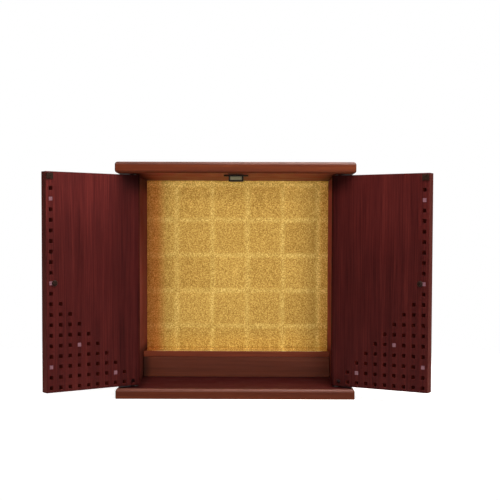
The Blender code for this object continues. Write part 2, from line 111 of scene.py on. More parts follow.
class Sheet:
    """A node tree on the drawing board: adds nodes, sets their inputs and joins them."""

    def __init__(self, tree: Tree) -> None:
        """Starts on an empty or existing tree.

        Args:
            tree: The shader or geometry tree to draw in.
        """
        self.tree = tree

    def feed(self, socket: Socket, value: Input) -> None:
        """Sets or joins one input.

        Args:
            socket: The input.
            value: An output to join to it, or a constant.
        """
        if isinstance(value, Socket):
            self.tree.links.new(value, socket)
        else:
            socket.default_value = value

    def add(self, kind: str, inputs: dict[str | int, Input] | None = None,
            **settings: Input) -> Node:
        """Adds a node.

        Args:
            kind: The node's type.
            inputs: Constants or outputs, by the input's name or number.
            settings: The node's own properties.

        Returns:
            The new node.
        """
        node = self.tree.nodes.new(kind)
        for name, value in settings.items():
            setattr(node, name, value)
        for key, value in (inputs or {}).items():
            if isinstance(key, int):
                socket = node.inputs[key]
            else:
                socket = next(item for item in node.inputs if item.name == key and item.enabled)
            self.feed(socket, value)
        return node

    def calc(self, operation: str, *terms: Input) -> Socket:
        """The result of a Math node on one to three numbers or outputs."""
        return self.first("ShaderNodeMath", dict(enumerate(terms)), operation=operation)

    def plus(self, first: Input, second: Input) -> Socket:
        """The sum of two numbers."""
        return self.calc("ADD", first, second)

    def minus(self, first: Input, second: Input) -> Socket:
        """The first number less the second."""
        return self.calc("SUBTRACT", first, second)

    def times(self, first: Input, second: Input) -> Socket:
        """The product of two numbers."""
        return self.calc("MULTIPLY", first, second)

    def swing(self, noise: Input, span: Input) -> Socket:
        """A noise value as a swing to both sides of zero."""
        return self.times(self.minus(noise, 0.5), span)

    def vector(self, operation: str, *terms: Input) -> Socket:
        """The vector from a Vector Math node, or the number for a dot product or a length."""
        node = self.add("ShaderNodeVectorMath", dict(enumerate(terms)), operation=operation)
        return node.outputs["Value" if operation in ("DOT_PRODUCT", "LENGTH") else "Vector"]

    def together(self, x: Input = 0.0, y: Input = 0.0, z: Input = 0.0) -> Socket:
        """A vector from its X, Y and Z."""
        return self.first("ShaderNodeCombineXYZ", {"X": x, "Y": y, "Z": z})

    def apart(self, vector: Input) -> list[Socket]:
        """The X, Y and Z of a vector."""
        return list(self.add("ShaderNodeSeparateXYZ", {0: vector}).outputs)

    def remap(self, value: Input, low: Input, high: Input, new_low: Input = 0.0,
              new_high: Input = 1.0, smooth: bool = False) -> Socket:
        """Stretches a range of a value over another range, clamped.

        Args:
            value: The number to stretch.
            low: Start of its range.
            high: End of its range.
            new_low: What the start becomes.
            new_high: What the end becomes.
            smooth: True to ease in and out.

        Returns:
            The stretched value's output.
        """
        terms = {"Value": value, "From Min": low, "From Max": high,
                 "To Min": new_low, "To Max": new_high}
        curve = "SMOOTHSTEP" if smooth else "LINEAR"
        return self.add("ShaderNodeMapRange", terms, interpolation_type=curve).outputs["Result"]

    def noise(self, place: Input, scale: Input = 1.0, detail: Input = 2.0,
              roughness: Input = 0.5) -> Socket:
        """A noise value around one half: lumps per unit, octaves and how the finer ones count."""
        terms = {"Vector": place, "Scale": scale, "Detail": detail, "Roughness": roughness}
        return self.first("ShaderNodeTexNoise", terms)

    def mix(self, factor: Input, first: Input, second: Input, mode: str = "MIX") -> Socket:
        """Mixes two colours.

        Args:
            factor: Share of the second.
            first: A colour or an output.
            second: A colour or an output.
            mode: How they are mixed.

        Returns:
            The colour's output.
        """
        terms = {0: factor, 6: opaque(first), 7: opaque(second)}
        node = self.add("ShaderNodeMix", terms, data_type="RGBA", blend_type=mode,
                        clamp_factor=True)
        return node.outputs[2]

    def tinted(self, colour: Input, mask: Input, tint: Colour) -> Socket:
        """Multiplies a colour by a tint as far as the mask lets it."""
        return self.mix(1.0, colour, self.mix(mask, WHITE, tint), "MULTIPLY")

    def ramp(self, value: Input, stops: Sequence[tuple[float, Colour]]) -> Socket:
        """Turns a value into a colour.

        Args:
            value: The number to read.
            stops: Places from 0 to 1 with their colours.

        Returns:
            The colour's output.
        """
        node = self.add("ShaderNodeValToRGB", {"Fac": value})
        points = node.color_ramp.elements
        while len(points) < len(stops):
            points.new(1.0)
        for point, (place, colour) in zip(points, stops):
            point.position = place
            point.color = opaque(colour)
        return node.outputs["Color"]

    def bump(self, height: Input, distance: float, strength: float = 1.0) -> Socket:
        """The normal of a height from 0 to 1, whose full depth in metres is the distance."""
        terms = {"Strength": strength, "Distance": distance, "Height": height}
        return self.add("ShaderNodeBump", terms).outputs["Normal"]

    def stored(self, name: str, output: str = "Fac") -> Socket:
        """A value or vector that the mesh keeps under a name."""
        return self.add("ShaderNodeAttribute", attribute_name=name).outputs[output]

    def first(self, kind: str, inputs: dict[str | int, Input] | None = None,
              **settings: Input) -> Socket:
        """Adds a node and gives its first output."""
        return self.add(kind, inputs, **settings).outputs[0]

    def live(self, kind: str, inputs: dict[str | int, Input], data_type: str) -> Socket:
        """Adds a node of several data types and gives the output that it shows."""
        node = self.add(kind, inputs, data_type=data_type)
        return next(item for item in node.outputs if item.enabled)

    def effect(self, tree: Tree, inputs: dict[str | int, Input]) -> Sockets:
        """The outputs of a shared effect that is placed with this material's own values."""
        return self.add("ShaderNodeGroup", inputs, node_tree=tree).outputs


def opaque(colour: Input) -> Input:
    """Adds full alpha to a plain colour, and leaves an output as it is."""
    return (*colour, 1.0) if isinstance(colour, tuple) and len(colour) == 3 else colour


def new_tree(kind: str, name: str, inputs: Iterable[tuple[str, str, Input]],
             outputs: Iterable[tuple[str, str]]) -> tuple[Sheet, Sockets, Sockets]:
    """Makes a node group with named sockets.

    Args:
        kind: "ShaderNodeTree" or "GeometryNodeTree".
        name: The group's name.
        inputs: Name, socket type and default of each input.
        outputs: Name and socket type of each output.

    Returns:
        The sheet, what the group is given, and the sockets that take its results.
    """
    tree = bpy.data.node_groups.new(name, kind)
    for label, socket, default in inputs:
        item = tree.interface.new_socket(label, in_out="INPUT", socket_type=socket)
        if default is not None:
            item.default_value = default
    for label, socket in outputs:
        tree.interface.new_socket(label, in_out="OUTPUT", socket_type=socket)
    sheet = Sheet(tree)
    return sheet, sheet.add("NodeGroupInput").outputs, sheet.add("NodeGroupOutput").inputs


FLOAT = "NodeSocketFloat"
WHOLE = "NodeSocketInt"
VECTOR = "NodeSocketVector"
GEOMETRY = "NodeSocketGeometry"
FINISH = "NodeSocketMaterial"
OBJECT = "NodeSocketObject"


# Effects that several finishes share

@cache
def veneer_figure() -> Tree:
    """Wood grain: broad bands, streaks and fine pores along the first axis of its coordinates.

    Returns:
        A shader group with Figure, Pores and Height outputs.
    """
    inputs = [("Grain", VECTOR, None), ("Streak Width", FLOAT, 0.004),
              ("Streak Length", FLOAT, 0.25), ("Waviness", FLOAT, 0.004),
              ("Band Share", FLOAT, 0.45)]
    outputs = [("Figure", FLOAT), ("Pores", FLOAT), ("Height", FLOAT)]
    sheet, given, result = new_tree("ShaderNodeTree", "veneer_figure", inputs, outputs)
    grain = given["Grain"]
    drift = sheet.noise(sheet.vector("MULTIPLY", grain, (5.0, 16.0, 16.0)), detail=1.0)
    drift = sheet.swing(drift, given["Waviness"])
    shifted = sheet.vector("ADD", grain, sheet.together(y=drift, z=drift))
    across = sheet.calc("DIVIDE", 1.0, given["Streak Width"])
    along = sheet.calc("DIVIDE", 1.0, given["Streak Length"])
    stretched = sheet.vector("MULTIPLY", shifted, sheet.together(along, across, across))
    streaks = sheet.noise(stretched, 1.0, 4.0, 0.62)
    bands = sheet.noise(stretched, 0.16, 2.0, 0.5)
    pores = sheet.noise(sheet.vector("MULTIPLY", shifted, (70.0, 2600.0, 2600.0)), detail=1.0)
    pores = sheet.remap(pores, 0.56, 0.72)
    share = given["Band Share"]
    figure = sheet.plus(sheet.times(bands, share), sheet.times(streaks, sheet.minus(1.0, share)))
    sheet.feed(result["Figure"], sheet.remap(figure, 0.30, 0.70))
    sheet.feed(result["Pores"], pores)
    sheet.feed(result["Height"], sheet.minus(sheet.times(streaks, 0.5), sheet.times(pores, 0.8)))
    return sheet.tree


@cache
def worn_edges() -> Tree:
    """Where a piece is rubbed: its outer edges, broken up by noise.

    Returns:
        A shader group with a Mask output.
    """
    inputs = [("Place", VECTOR, None), ("Width", FLOAT, 0.001), ("Patches", FLOAT, 60.0)]
    sheet, given, result = new_tree("ShaderNodeTree", "worn_edges", inputs, [("Mask", FLOAT)])
    turned = sheet.first("ShaderNodeBevel", {"Radius": given["Width"]}, samples=4)
    true_normal = sheet.add("ShaderNodeNewGeometry").outputs["True Normal"]
    bend = sheet.minus(1.0, sheet.vector("DOT_PRODUCT", turned, true_normal))
    patches = sheet.noise(given["Place"], given["Patches"], 3.0)
    rubbed = sheet.times(sheet.remap(bend, 0.02, 0.25), sheet.remap(patches, 0.38, 0.66))
    sheet.feed(result["Mask"], rubbed)
    return sheet.tree


@cache
def local_tone() -> Tree:
    """Mask of the painted light and shade on a part of a piece, easing in between two places on
    each axis.

    Returns:
        A shader group with a Mask output.
    """
    inputs = [("Place", VECTOR, None), ("None At", VECTOR, None), ("Full At", VECTOR, None)]
    sheet, given, result = new_tree("ShaderNodeTree", "local_tone", inputs, [("Mask", FLOAT)])
    axes = zip(*(sheet.apart(given[label]) for label in ("Place", "None At", "Full At")))
    masks = [sheet.remap(place, none_at, full_at, smooth=True) for place, none_at, full_at in axes]
    sheet.feed(result["Mask"], sheet.times(sheet.times(masks[0], masks[1]), masks[2]))
    return sheet.tree


@cache
def handled_sheen() -> Tree:
    """Roughness that varies as on a lacquered or handled surface, with a faint ripple.

    Returns:
        A shader group with Roughness and Ripple outputs.
    """
    inputs = [("Place", VECTOR, None), ("Low", FLOAT, 0.3), ("High", FLOAT, 0.45),
              ("Patch Size", FLOAT, 0.03)]
    outputs = [("Roughness", FLOAT), ("Ripple", FLOAT)]
    sheet, given, result = new_tree("ShaderNodeTree", "handled_sheen", inputs, outputs)
    scale = sheet.calc("DIVIDE", 1.0, given["Patch Size"])
    place = given["Place"]
    spread = sheet.vector("MULTIPLY", place, sheet.together(scale, scale, scale))
    patches = sheet.noise(spread, 1.0, 3.0, 0.55)
    sheet.feed(result["Roughness"], sheet.remap(patches, 0.3, 0.7, given["Low"], given["High"]))
    sheet.feed(result["Ripple"], sheet.noise(place, 420.0, 1.0))
    return sheet.tree


# Finishes

def bare_material(name: str) -> tuple[Material, Sheet, Sockets]:
    """Starts a material.

    Args:
        name: The material's name.

    Returns:
        The material, a sheet on its tree, and its Principled shader's inputs.
    """
    material = bpy.data.materials.new(name)
    material.use_nodes = True
    tree = material.node_tree
    return material, Sheet(tree), tree.nodes["Principled BSDF"].inputs


def lay_sheen(sheet: Sheet, shader: Sockets, place: Input, gloss: Span,
              patch_size: float = 0.03) -> Socket:
    """Feeds a shader's roughness from the shared sheen.

    Args:
        sheet: The material's sheet.
        shader: The Principled shader's inputs.
        place: The coordinates to read it at.
        gloss: Lowest and highest roughness.
        patch_size: Width of its patches.

    Returns:
        The sheen's ripple.
    """
    low, high = gloss
    sheen = sheet.effect(handled_sheen(), {"Place": place, "Low": low, "High": high,
                                           "Patch Size": patch_size})
    sheet.feed(shader["Roughness"], sheen["Roughness"])
    return sheen["Ripple"]


def object_place(sheet: Sheet) -> Socket:
    """Object coordinates of the piece."""
    return sheet.add("ShaderNodeTexCoord").outputs["Object"]


# A span below every point of the cabinet, so that the whole axis is full
UNBOUNDED = (-9.0, -8.0)


@dataclass(frozen=True)
class PaintedLightShade:
    """Painted light and shade: a part of a piece whose colour is made deeper to stand for shade, or
    lighter to stand for light where the strength is above 1.

    Each span is (where it starts, where it is full), and an axis left out doesn't bound it.
    Outwards takes all three as distances from the middle, so that both sides are toned.
    """

    strength: float
    x: Span = UNBOUNDED
    y: Span = UNBOUNDED
    z: Span = UNBOUNDED
    outwards: bool = False

    def over(self, sheet: Sheet, place: Socket, colour: Input) -> Socket:
        """Lays the painted light and shade over a colour.

        Args:
            sheet: The material's sheet.
            place: Object coordinates.
            colour: The colour before.

        Returns:
            The toned colour's output.
        """
        measured = sheet.vector("ABSOLUTE", place) if self.outwards else place
        none_at, full_at = zip(self.x, self.y, self.z)
        mask = sheet.effect(local_tone(), {"Place": measured, "None At": none_at,
                                           "Full At": full_at})["Mask"]
        return sheet.tinted(colour, mask, (self.strength, self.strength, self.strength))


@dataclass(frozen=True)
class Veneer:
    """Lacquered wood veneer, with its grain read from the board's own attribute."""

    name: str
    dark: Colour
    middle: Colour
    light: Colour
    rubbed: Colour
    streak_width: float = 0.004
    streak_length: float = 0.25
    band_share: float = 0.45
    pore_depth: float = 0.35
    gloss: Span = (0.42, 0.54)
    specular: float = 0.12
    wear: float = 0.35
    # Painted shade towards the hinge: how deep, and the share of the reach over which it eases in
    hinge_painted_shade: float = 0.0
    hinge_span: Span = (0.45, 0.08)
    edge_width: float = 0.0009
    relief: float = 0.00003
    # Painted light and shade over parts of the piece
    painted_light_shade: tuple[PaintedLightShade, ...] = ()

    def material(self) -> Material:
        """Builds the finish.

        Returns:
            The material.
        """
        material, sheet, shader = bare_material(self.name)
        grain = sheet.stored(GRAIN, "Vector")
        figure = sheet.effect(veneer_figure(), {
            "Grain": grain, "Streak Width": self.streak_width,
            "Streak Length": self.streak_length, "Band Share": self.band_share})
        stops = [(0.0, self.dark), (0.5, self.middle), (1.0, self.light)]
        wood = sheet.ramp(figure["Figure"], stops)
        # Painted shade, darker towards the hinge
        if self.hinge_painted_shade > 0.0:
            reached = sheet.stored(FROM_HINGE)
            shade = sheet.remap(reached, *self.hinge_span, 0.0, self.hinge_painted_shade, smooth=True)
            wood = sheet.mix(shade, wood, BLACK)
        # Painted light and shade over parts of the piece
        for painted_mark in self.painted_light_shade:
            wood = painted_mark.over(sheet, object_place(sheet), wood)
        pored = sheet.mix(sheet.times(figure["Pores"], self.pore_depth), wood, self.dark)
        edges = sheet.effect(worn_edges(), {"Place": grain, "Width": self.edge_width})
        rubbing = sheet.times(edges["Mask"], self.wear)
        sheet.feed(shader["Base Color"], sheet.mix(rubbing, pored, self.rubbed))
        ripple = lay_sheen(sheet, shader, grain, self.gloss)
        height = sheet.plus(sheet.times(figure["Height"], 0.7), sheet.times(ripple, 0.3))
        sheet.feed(shader["Normal"], sheet.bump(height, self.relief))
        shader["Specular IOR Level"].default_value = self.specular
        return material


@dataclass(frozen=True)
class GoldLeaf:
    """Gold leaf laid in overlapping squares: crinkled, and paler where two leaves overlap.

    Towards the side walls it is darkened and reddened by painted shade, the right side less than
    the left.
    """

    name: str = "gold_leaf"
    deep: Colour = (0.225, 0.110, 0.015)
    middle: Colour = (0.400, 0.230, 0.042)
    bright: Colour = (0.640, 0.420, 0.108)
    doubled: Colour = (1.17, 1.28, 1.52)
    # Painted shade towards the side walls: its tint, where it starts and is full on each side, the
    # right side's share and the wander of its edge
    side_painted_shade: Colour = (0.94, 0.60, 0.50)
    side_painted_shade_left: Span = (0.100, 0.1135)
    side_painted_shade_right: Span = (0.116, 0.1165)
    side_painted_shade_right_share: float = 0.2
    side_painted_shade_wander: float = 0.012
    lap: float = 0.00225
    seam: Span = (0.0052, 0.0012)
    fray: float = 0.008
    metallic: float = 0.82
    gloss: Span = (0.34, 0.46)
    relief: float = 0.00022
    painted_light_shade: tuple[PaintedLightShade, ...] = ()

    def material(self) -> Material:
        """Builds the finish.

        Returns:
            The material.
        """
        material, sheet, shader = bare_material(self.name)
        place = object_place(sheet)
        stipple = sheet.noise(place, 620.0, 2.0, 0.8)
        crinkle = sheet.noise(place, 260.0, 2.0, 0.6)
        patches = sheet.noise(place, 95.0, 3.0, 0.6)
        mottle = sheet.plus(sheet.times(stipple, 0.88), sheet.times(crinkle, 0.12))
        toned = sheet.swing(sheet.stored(LEAF_TONE), 0.14)
        shade = sheet.plus(sheet.remap(mottle, 0.34, 0.66), toned)
        shade = sheet.plus(shade, sheet.swing(patches, 0.16))
        stops = [(0.0, self.deep), (0.5, self.middle), (1.0, self.bright)]
        leaf = sheet.ramp(shade, stops)

        from_seam = sheet.calc("ABSOLUTE", sheet.minus(sheet.stored(LEAF_EDGE), self.lap))
        frayed = sheet.plus(from_seam, sheet.swing(patches, self.fray))
        frayed = sheet.plus(frayed, sheet.swing(stipple, self.fray))
        leaf = sheet.tinted(leaf, sheet.remap(frayed, *self.seam, smooth=True), self.doubled)

        # Painted shade, darker and redder towards the side walls
        across = sheet.apart(place)[0]
        wander = sheet.swing(stipple, self.side_painted_shade_wander)
        left = sheet.remap(sheet.plus(sheet.times(across, -1.0), wander), *self.side_painted_shade_left)
        right = sheet.remap(sheet.plus(across, wander), *self.side_painted_shade_right)
        side_painted_shade = sheet.calc("MAXIMUM", left, sheet.times(right, self.side_painted_shade_right_share))
        leaf = sheet.tinted(leaf, side_painted_shade, self.side_painted_shade)
        # Painted light and shade over parts of the panel
        for painted_mark in self.painted_light_shade:
            leaf = painted_mark.over(sheet, place, leaf)

        sheet.feed(shader["Base Color"], leaf)
        low, high = self.gloss
        sheet.feed(shader["Roughness"], sheet.remap(mottle, 0.3, 0.7, high, low))
        sheet.feed(shader["Normal"], sheet.bump(mottle, self.relief, 0.8))
        shader["Metallic"].default_value = self.metallic
        return material


@dataclass(frozen=True)
class Pearl:
    """Mother-of-pearl: layered pale bands with a shifting tint under a polished face."""

    name: str = "mother_of_pearl"
    pale: Colour = (0.150, 0.066, 0.080)
    rosy: Colour = (0.110, 0.036, 0.050)
    green: Colour = (0.105, 0.090, 0.092)
    layers: Triple = (500.0, 500.0, 1500.0)
    gloss: Span = (0.16, 0.30)
    relief: float = 0.00002

    def material(self) -> Material:
        """Builds the finish.

        Returns:
            The material.
        """
        material, sheet, shader = bare_material(self.name)
        place = object_place(sheet)
        layers = sheet.noise(sheet.vector("MULTIPLY", place, self.layers), 1.0, 3.0, 0.6)
        tint = sheet.remap(sheet.noise(place, 260.0, 1.0), 0.4, 0.7)
        body = sheet.ramp(layers, [(0.30, self.rosy), (0.52, self.pale), (0.85, self.green)])
        sheet.feed(shader["Base Color"], sheet.mix(tint, body, self.pale))
        sheet.feed(shader["Roughness"], sheet.remap(layers, 0.3, 0.7, *self.gloss))
        sheet.feed(shader["Normal"], sheet.bump(layers, self.relief))
        shader["Coat Weight"].default_value = 0.05
        shader["Coat Roughness"].default_value = 0.08
        shader["Specular IOR Level"].default_value = 0.2
        return material


@dataclass(frozen=True)
class Metal:
    """Plated, brushed or lacquered metal, rubbed brighter along its edges."""

    name: str
    base: Colour
    worn: Colour
    gloss: Span
    metallic: float = 1.0
    wear: float = 0.5
    specular: float = 0.2
    stroke: Triple = (300.0, 300.0, 2600.0)
    edge_width: float = 0.0004
    patch_size: float = 0.003
    relief: float = 0.00001

    def material(self) -> Material:
        """Builds the finish.

        Returns:
            The material.
        """
        material, sheet, shader = bare_material(self.name)
        place = object_place(sheet)
        strokes = sheet.noise(sheet.vector("MULTIPLY", place, self.stroke), 1.0, 3.0, 0.6)
        edges = sheet.effect(worn_edges(), {"Place": place, "Width": self.edge_width,
                                            "Patches": 400.0})
        toned = sheet.mix(sheet.remap(strokes, 0.35, 0.65, 0.0, 0.35), self.base, self.worn)
        rubbing = sheet.times(edges["Mask"], self.wear)
        sheet.feed(shader["Base Color"], sheet.mix(rubbing, toned, self.worn))
        lay_sheen(sheet, shader, place, self.gloss, self.patch_size)
        sheet.feed(shader["Normal"], sheet.bump(strokes, self.relief))
        shader["Metallic"].default_value = self.metallic
        shader["Specular IOR Level"].default_value = self.specular
        return material


@dataclass(frozen=True)
class Moulding:
    """Moulded plastic with a fine spark-eroded texture."""

    name: str
    base: Colour
    dusty: Colour
    gloss: Span = (0.42, 0.58)
    patch_size: float = 0.004
    relief: float = 0.00002
    specular: float = 0.12

    def material(self) -> Material:
        """Builds the finish.

        Returns:
            The material.
        """
        material, sheet, shader = bare_material(self.name)
        place = object_place(sheet)
        pits = sheet.noise(place, 3200.0, 2.0, 0.7)
        dust = sheet.remap(sheet.noise(place, 260.0, 3.0, 0.6), 0.45, 0.75)
        sheet.feed(shader["Base Color"], sheet.mix(dust, self.base, self.dusty))
        lay_sheen(sheet, shader, place, self.gloss, self.patch_size)
        sheet.feed(shader["Normal"], sheet.bump(pits, self.relief))
        shader["Specular IOR Level"].default_value = self.specular
        return material


@dataclass(frozen=True)
class Paper:
    """Matt studio paper for the floor, fading into the white surround towards its rim."""

    name: str = "studio_paper"
    pale: Colour = (0.90, 0.90, 0.895)
    shade: Colour = (0.87, 0.87, 0.87)
    bounce: Colour = (0.80, 0.80, 0.80)
    gloss: Span = (0.8, 0.95)
    specular: float = 0.1
    glow: float = 0.88
    fade: Span = (0.70, 0.24)

    def material(self) -> Material:
        """Builds the finish.

        Returns:
            The material.
        """
        material, sheet, shader = bare_material(self.name)
        place = object_place(sheet)
        clouds = sheet.noise(place, 3.0, 2.0)
        seen = sheet.add("ShaderNodeLightPath").outputs["Is Camera Ray"]
        paper = sheet.mix(clouds, self.pale, self.shade)
        sheet.feed(shader["Base Color"], sheet.mix(seen, self.bounce, paper))
        sheet.feed(shader["Emission Color"], sheet.mix(seen, BLACK, self.pale))
        sheet.feed(shader["Roughness"], sheet.remap(clouds, 0.3, 0.7, *self.gloss))
        near = sheet.remap(sheet.vector("LENGTH", place), *self.fade, smooth=True)
        sheet.feed(shader["Alpha"], sheet.calc("MAXIMUM", near, sheet.minus(1.0, seen)))
        shader["Emission Strength"].default_value = self.glow
        shader["Specular IOR Level"].default_value = self.specular
        return material


OUTER_FACES = (0.1280, 0.1292)
LEFT_INNER_FACE = (-0.1290, -0.1280)
RIGHT_INNER_FACE = (0.1290, 0.1280)
# Takes the outer faces of both walls back down from the painted light to the wood's own darker
# colour
PLAIN_OUTER_FACES = PaintedLightShade(0.26, x=OUTER_FACES, outwards=True)
# Wall veneer whose colours are painted light, lightened to stand for light thrown from the gold
# onto the inner faces; painted shade darkens the right inner face at its foot and under the ceiling
WALL_VENEER_PAINTED_LIGHT = Veneer(
    "right_wall_rosewood_veneer", dark=(0.3654, 0.0660, 0.0455), middle=(0.5177, 0.1061, 0.0707),
    light=(0.6699, 0.1502, 0.1010), rubbed=(0.6800, 0.2400, 0.1900), streak_width=0.0024,
    streak_length=0.16, gloss=(0.60, 0.72), specular=0.06, wear=0.20,
    painted_light_shade=(PLAIN_OUTER_FACES, PaintedLightShade(0.80, x=RIGHT_INNER_FACE, z=(0.062, 0.050)),
             PaintedLightShade(0.62, x=RIGHT_INNER_FACE, z=(0.262, 0.276))))


class Finish(Enum):
    """The finishes, each with the record's slot that it belongs to."""

    # Painted light lightens the top slab's upper left, and painted shade darkens the base's lower
    # right
    SLAB = (Veneer(
        "orange_rosewood_veneer", dark=(0.0415, 0.0061, 0.0011), middle=(0.0726, 0.0119, 0.0022),
        light=(0.1037, 0.0206, 0.0038), rubbed=(0.1411, 0.0541, 0.0139), streak_width=0.0022,
        streak_length=0.12, specular=0.10, wear=0.45,
        painted_light_shade=(PaintedLightShade(1.18, x=(-0.01, -0.10), z=(0.27, 0.28)),
                 PaintedLightShade(0.90, x=(-0.02, 0.08), z=(0.05, 0.02)))), "orange_rosewood")
    # A lighter, glossier copy of the slab veneer on the upward rounded edges: painted highlight,
    # held darker on the top slab
    ROUNDING = (Veneer(
        "rounded_rosewood_edge", dark=(0.0620, 0.0150, 0.0075), middle=(0.1050, 0.0280, 0.0150),
        light=(0.1500, 0.0450, 0.0260), rubbed=(0.2800, 0.1700, 0.1100), streak_width=0.0022,
        streak_length=0.12, gloss=(0.44, 0.54), specular=0.24, wear=0.45,
        painted_light_shade=(PaintedLightShade(0.62, z=(0.270, 0.280)),)), "orange_rosewood")
    # A much lighter copy of the slab veneer on the ceiling: painted light thrown up from the gold
    # and the floor. Painted shade darkens it across the catch's width, towards both side walls and
    # at the front corners, and it is lighter towards the back
    INNER = (Veneer(
        "inner_rosewood_veneer", dark=(0.1602, 0.0159, 0.0104), middle=(0.2730, 0.0295, 0.0190),
        light=(0.3822, 0.0487, 0.0303), rubbed=(0.4368, 0.1021, 0.0695), streak_width=0.0022,
        streak_length=0.12, specular=0.08, wear=0.30,
        painted_light_shade=(PaintedLightShade(0.26, x=(0.0104, 0.0090), y=(0.087, 0.085), outwards=True),
                 PaintedLightShade(0.78, x=(0.0175, 0.0155), y=(0.085, 0.083), outwards=True),
                 PaintedLightShade(0.22, x=(0.108, 0.126), outwards=True),
                 PaintedLightShade(0.66, x=(-0.088, -0.112), y=(0.0, -0.055)),
                 PaintedLightShade(0.70, x=(0.094, 0.116), y=(0.0, -0.055)),
                 PaintedLightShade(0.93, y=(-0.01, -0.06)), PaintedLightShade(1.14, y=(-0.01, 0.05)))),
             "orange_rosewood")
    # Painted light on the left door's upper free side, painted shade on the right door's lower free
    # side, and painted shadow of the top slab at both doors' top hinge corners
    DOOR = (Veneer(
        "dark_rosewood_veneer", dark=(0.0200, 0.0022, 0.0022), middle=(0.0444, 0.0056, 0.0049),
        light=(0.0760, 0.0106, 0.0084), rubbed=(0.0907, 0.0228, 0.0180), streak_width=0.0016,
        streak_length=0.07, band_share=0.30, specular=0.05, wear=0.20, hinge_painted_shade=0.22,
        painted_light_shade=(PaintedLightShade(1.28, x=(-0.140, -0.155), z=(0.180, 0.260)),
                 PaintedLightShade(0.88, x=(0.135, 0.150), z=(0.230, 0.150)),
                 PaintedLightShade(0.40, x=(0.149, 0.126), z=(0.250, 0.276), outwards=True))),
            "dark_rosewood")
    WALL_RIGHT = (WALL_VENEER_PAINTED_LIGHT, "dark_rosewood")
    # The left wall's inner face is held darker than the right's by painted shade, deeper at its
    # foot, low down and under the ceiling
    WALL_LEFT = (replace(
        WALL_VENEER_PAINTED_LIGHT, name="left_wall_rosewood_veneer",
        painted_light_shade=(PLAIN_OUTER_FACES, PaintedLightShade(0.50, x=LEFT_INNER_FACE),
                 PaintedLightShade(0.36, x=LEFT_INNER_FACE, z=(0.258, 0.276)),
                 PaintedLightShade(0.34, x=LEFT_INNER_FACE, z=(0.060, 0.049)),
                 PaintedLightShade(0.76, x=LEFT_INNER_FACE, z=(0.145, 0.062)))), "dark_rosewood")
    # A lighter copy of the door veneer on the walls of the lattice holes: painted light
    CUT = (Veneer(
        "cut_rosewood", dark=(0.070, 0.0100, 0.0070), middle=(0.100, 0.0150, 0.0105),
        light=(0.130, 0.0210, 0.0150), rubbed=(0.160, 0.040, 0.030), streak_width=0.0012,
        streak_length=0.02, gloss=(0.80, 0.95), specular=0.0, wear=0.10), "dark_rosewood")
    # A lighter copy of the door veneer on the door's free edge: painted light
    LIPPING = (Veneer(
        "rosewood_lipping", dark=(0.070, 0.0160, 0.0125), middle=(0.108, 0.0260, 0.0210),
        light=(0.150, 0.0400, 0.0300), rubbed=(0.180, 0.070, 0.055), streak_width=0.0020,
        streak_length=0.16, gloss=(0.55, 0.70), specular=0.01, wear=0.20), "dark_rosewood")
    # A darker copy of the slab veneer on the base's upper face: painted shade under the top slab,
    # deepest at its left end
    FLOOR = (Veneer(
        "floor_rosewood_veneer", dark=(0.0290, 0.0038, 0.0034), middle=(0.0459, 0.0062, 0.0059),
        light=(0.0628, 0.0093, 0.0083), rubbed=(0.1158, 0.0356, 0.0277), streak_width=0.0024,
        streak_length=0.14, specular=0.06, wear=0.20,
        painted_light_shade=(PaintedLightShade(0.45, x=(-0.110, -0.125), y=(-0.092, -0.085)),)), "orange_rosewood")
    # Painted shade darkens the riser towards its left end
    RISER = (Veneer(
        "brown_rosewood_veneer", dark=(0.0724, 0.0153, 0.0061), middle=(0.1098, 0.0235, 0.0095),
        light=(0.1481, 0.0360, 0.0147), rubbed=(0.2195, 0.0811, 0.0371), streak_width=0.003,
        streak_length=0.14, wear=0.30,
        painted_light_shade=(PaintedLightShade(0.32, x=(-0.114, -0.1255)),)), "orange_rosewood")
    BACKING = (Veneer(
        "stained_ply", dark=(0.040, 0.0115, 0.0060), middle=(0.062, 0.0185, 0.0098),
        light=(0.090, 0.0290, 0.0155), rubbed=(0.140, 0.060, 0.035), streak_width=0.006,
        streak_length=0.3, gloss=(0.55, 0.70), specular=0.10, wear=0.2), "plain_board")
    # Painted light lightens the top band under the slab and the right edge; painted shade darkens
    # the panel below the top band and again at its foot
    GOLD = (GoldLeaf(
        painted_light_shade=(PaintedLightShade(1.30, z=(0.256, 0.281)), PaintedLightShade(0.94, z=(0.250, 0.240)),
                 PaintedLightShade(0.93, z=(0.058, 0.050)), PaintedLightShade(1.26, x=(0.108, 0.116)))), "gold_paper")
    # A lighter copy of the slab veneer on the step board: painted light
    STEP_WOOD = (Veneer(
        "step_rosewood_veneer", dark=(0.0960, 0.0175, 0.0073), middle=(0.1640, 0.0325, 0.0133),
        light=(0.2290, 0.0536, 0.0212), rubbed=(0.2600, 0.1000, 0.0500), streak_width=0.0022,
        streak_length=0.12, specular=0.08, wear=0.30), "orange_rosewood")
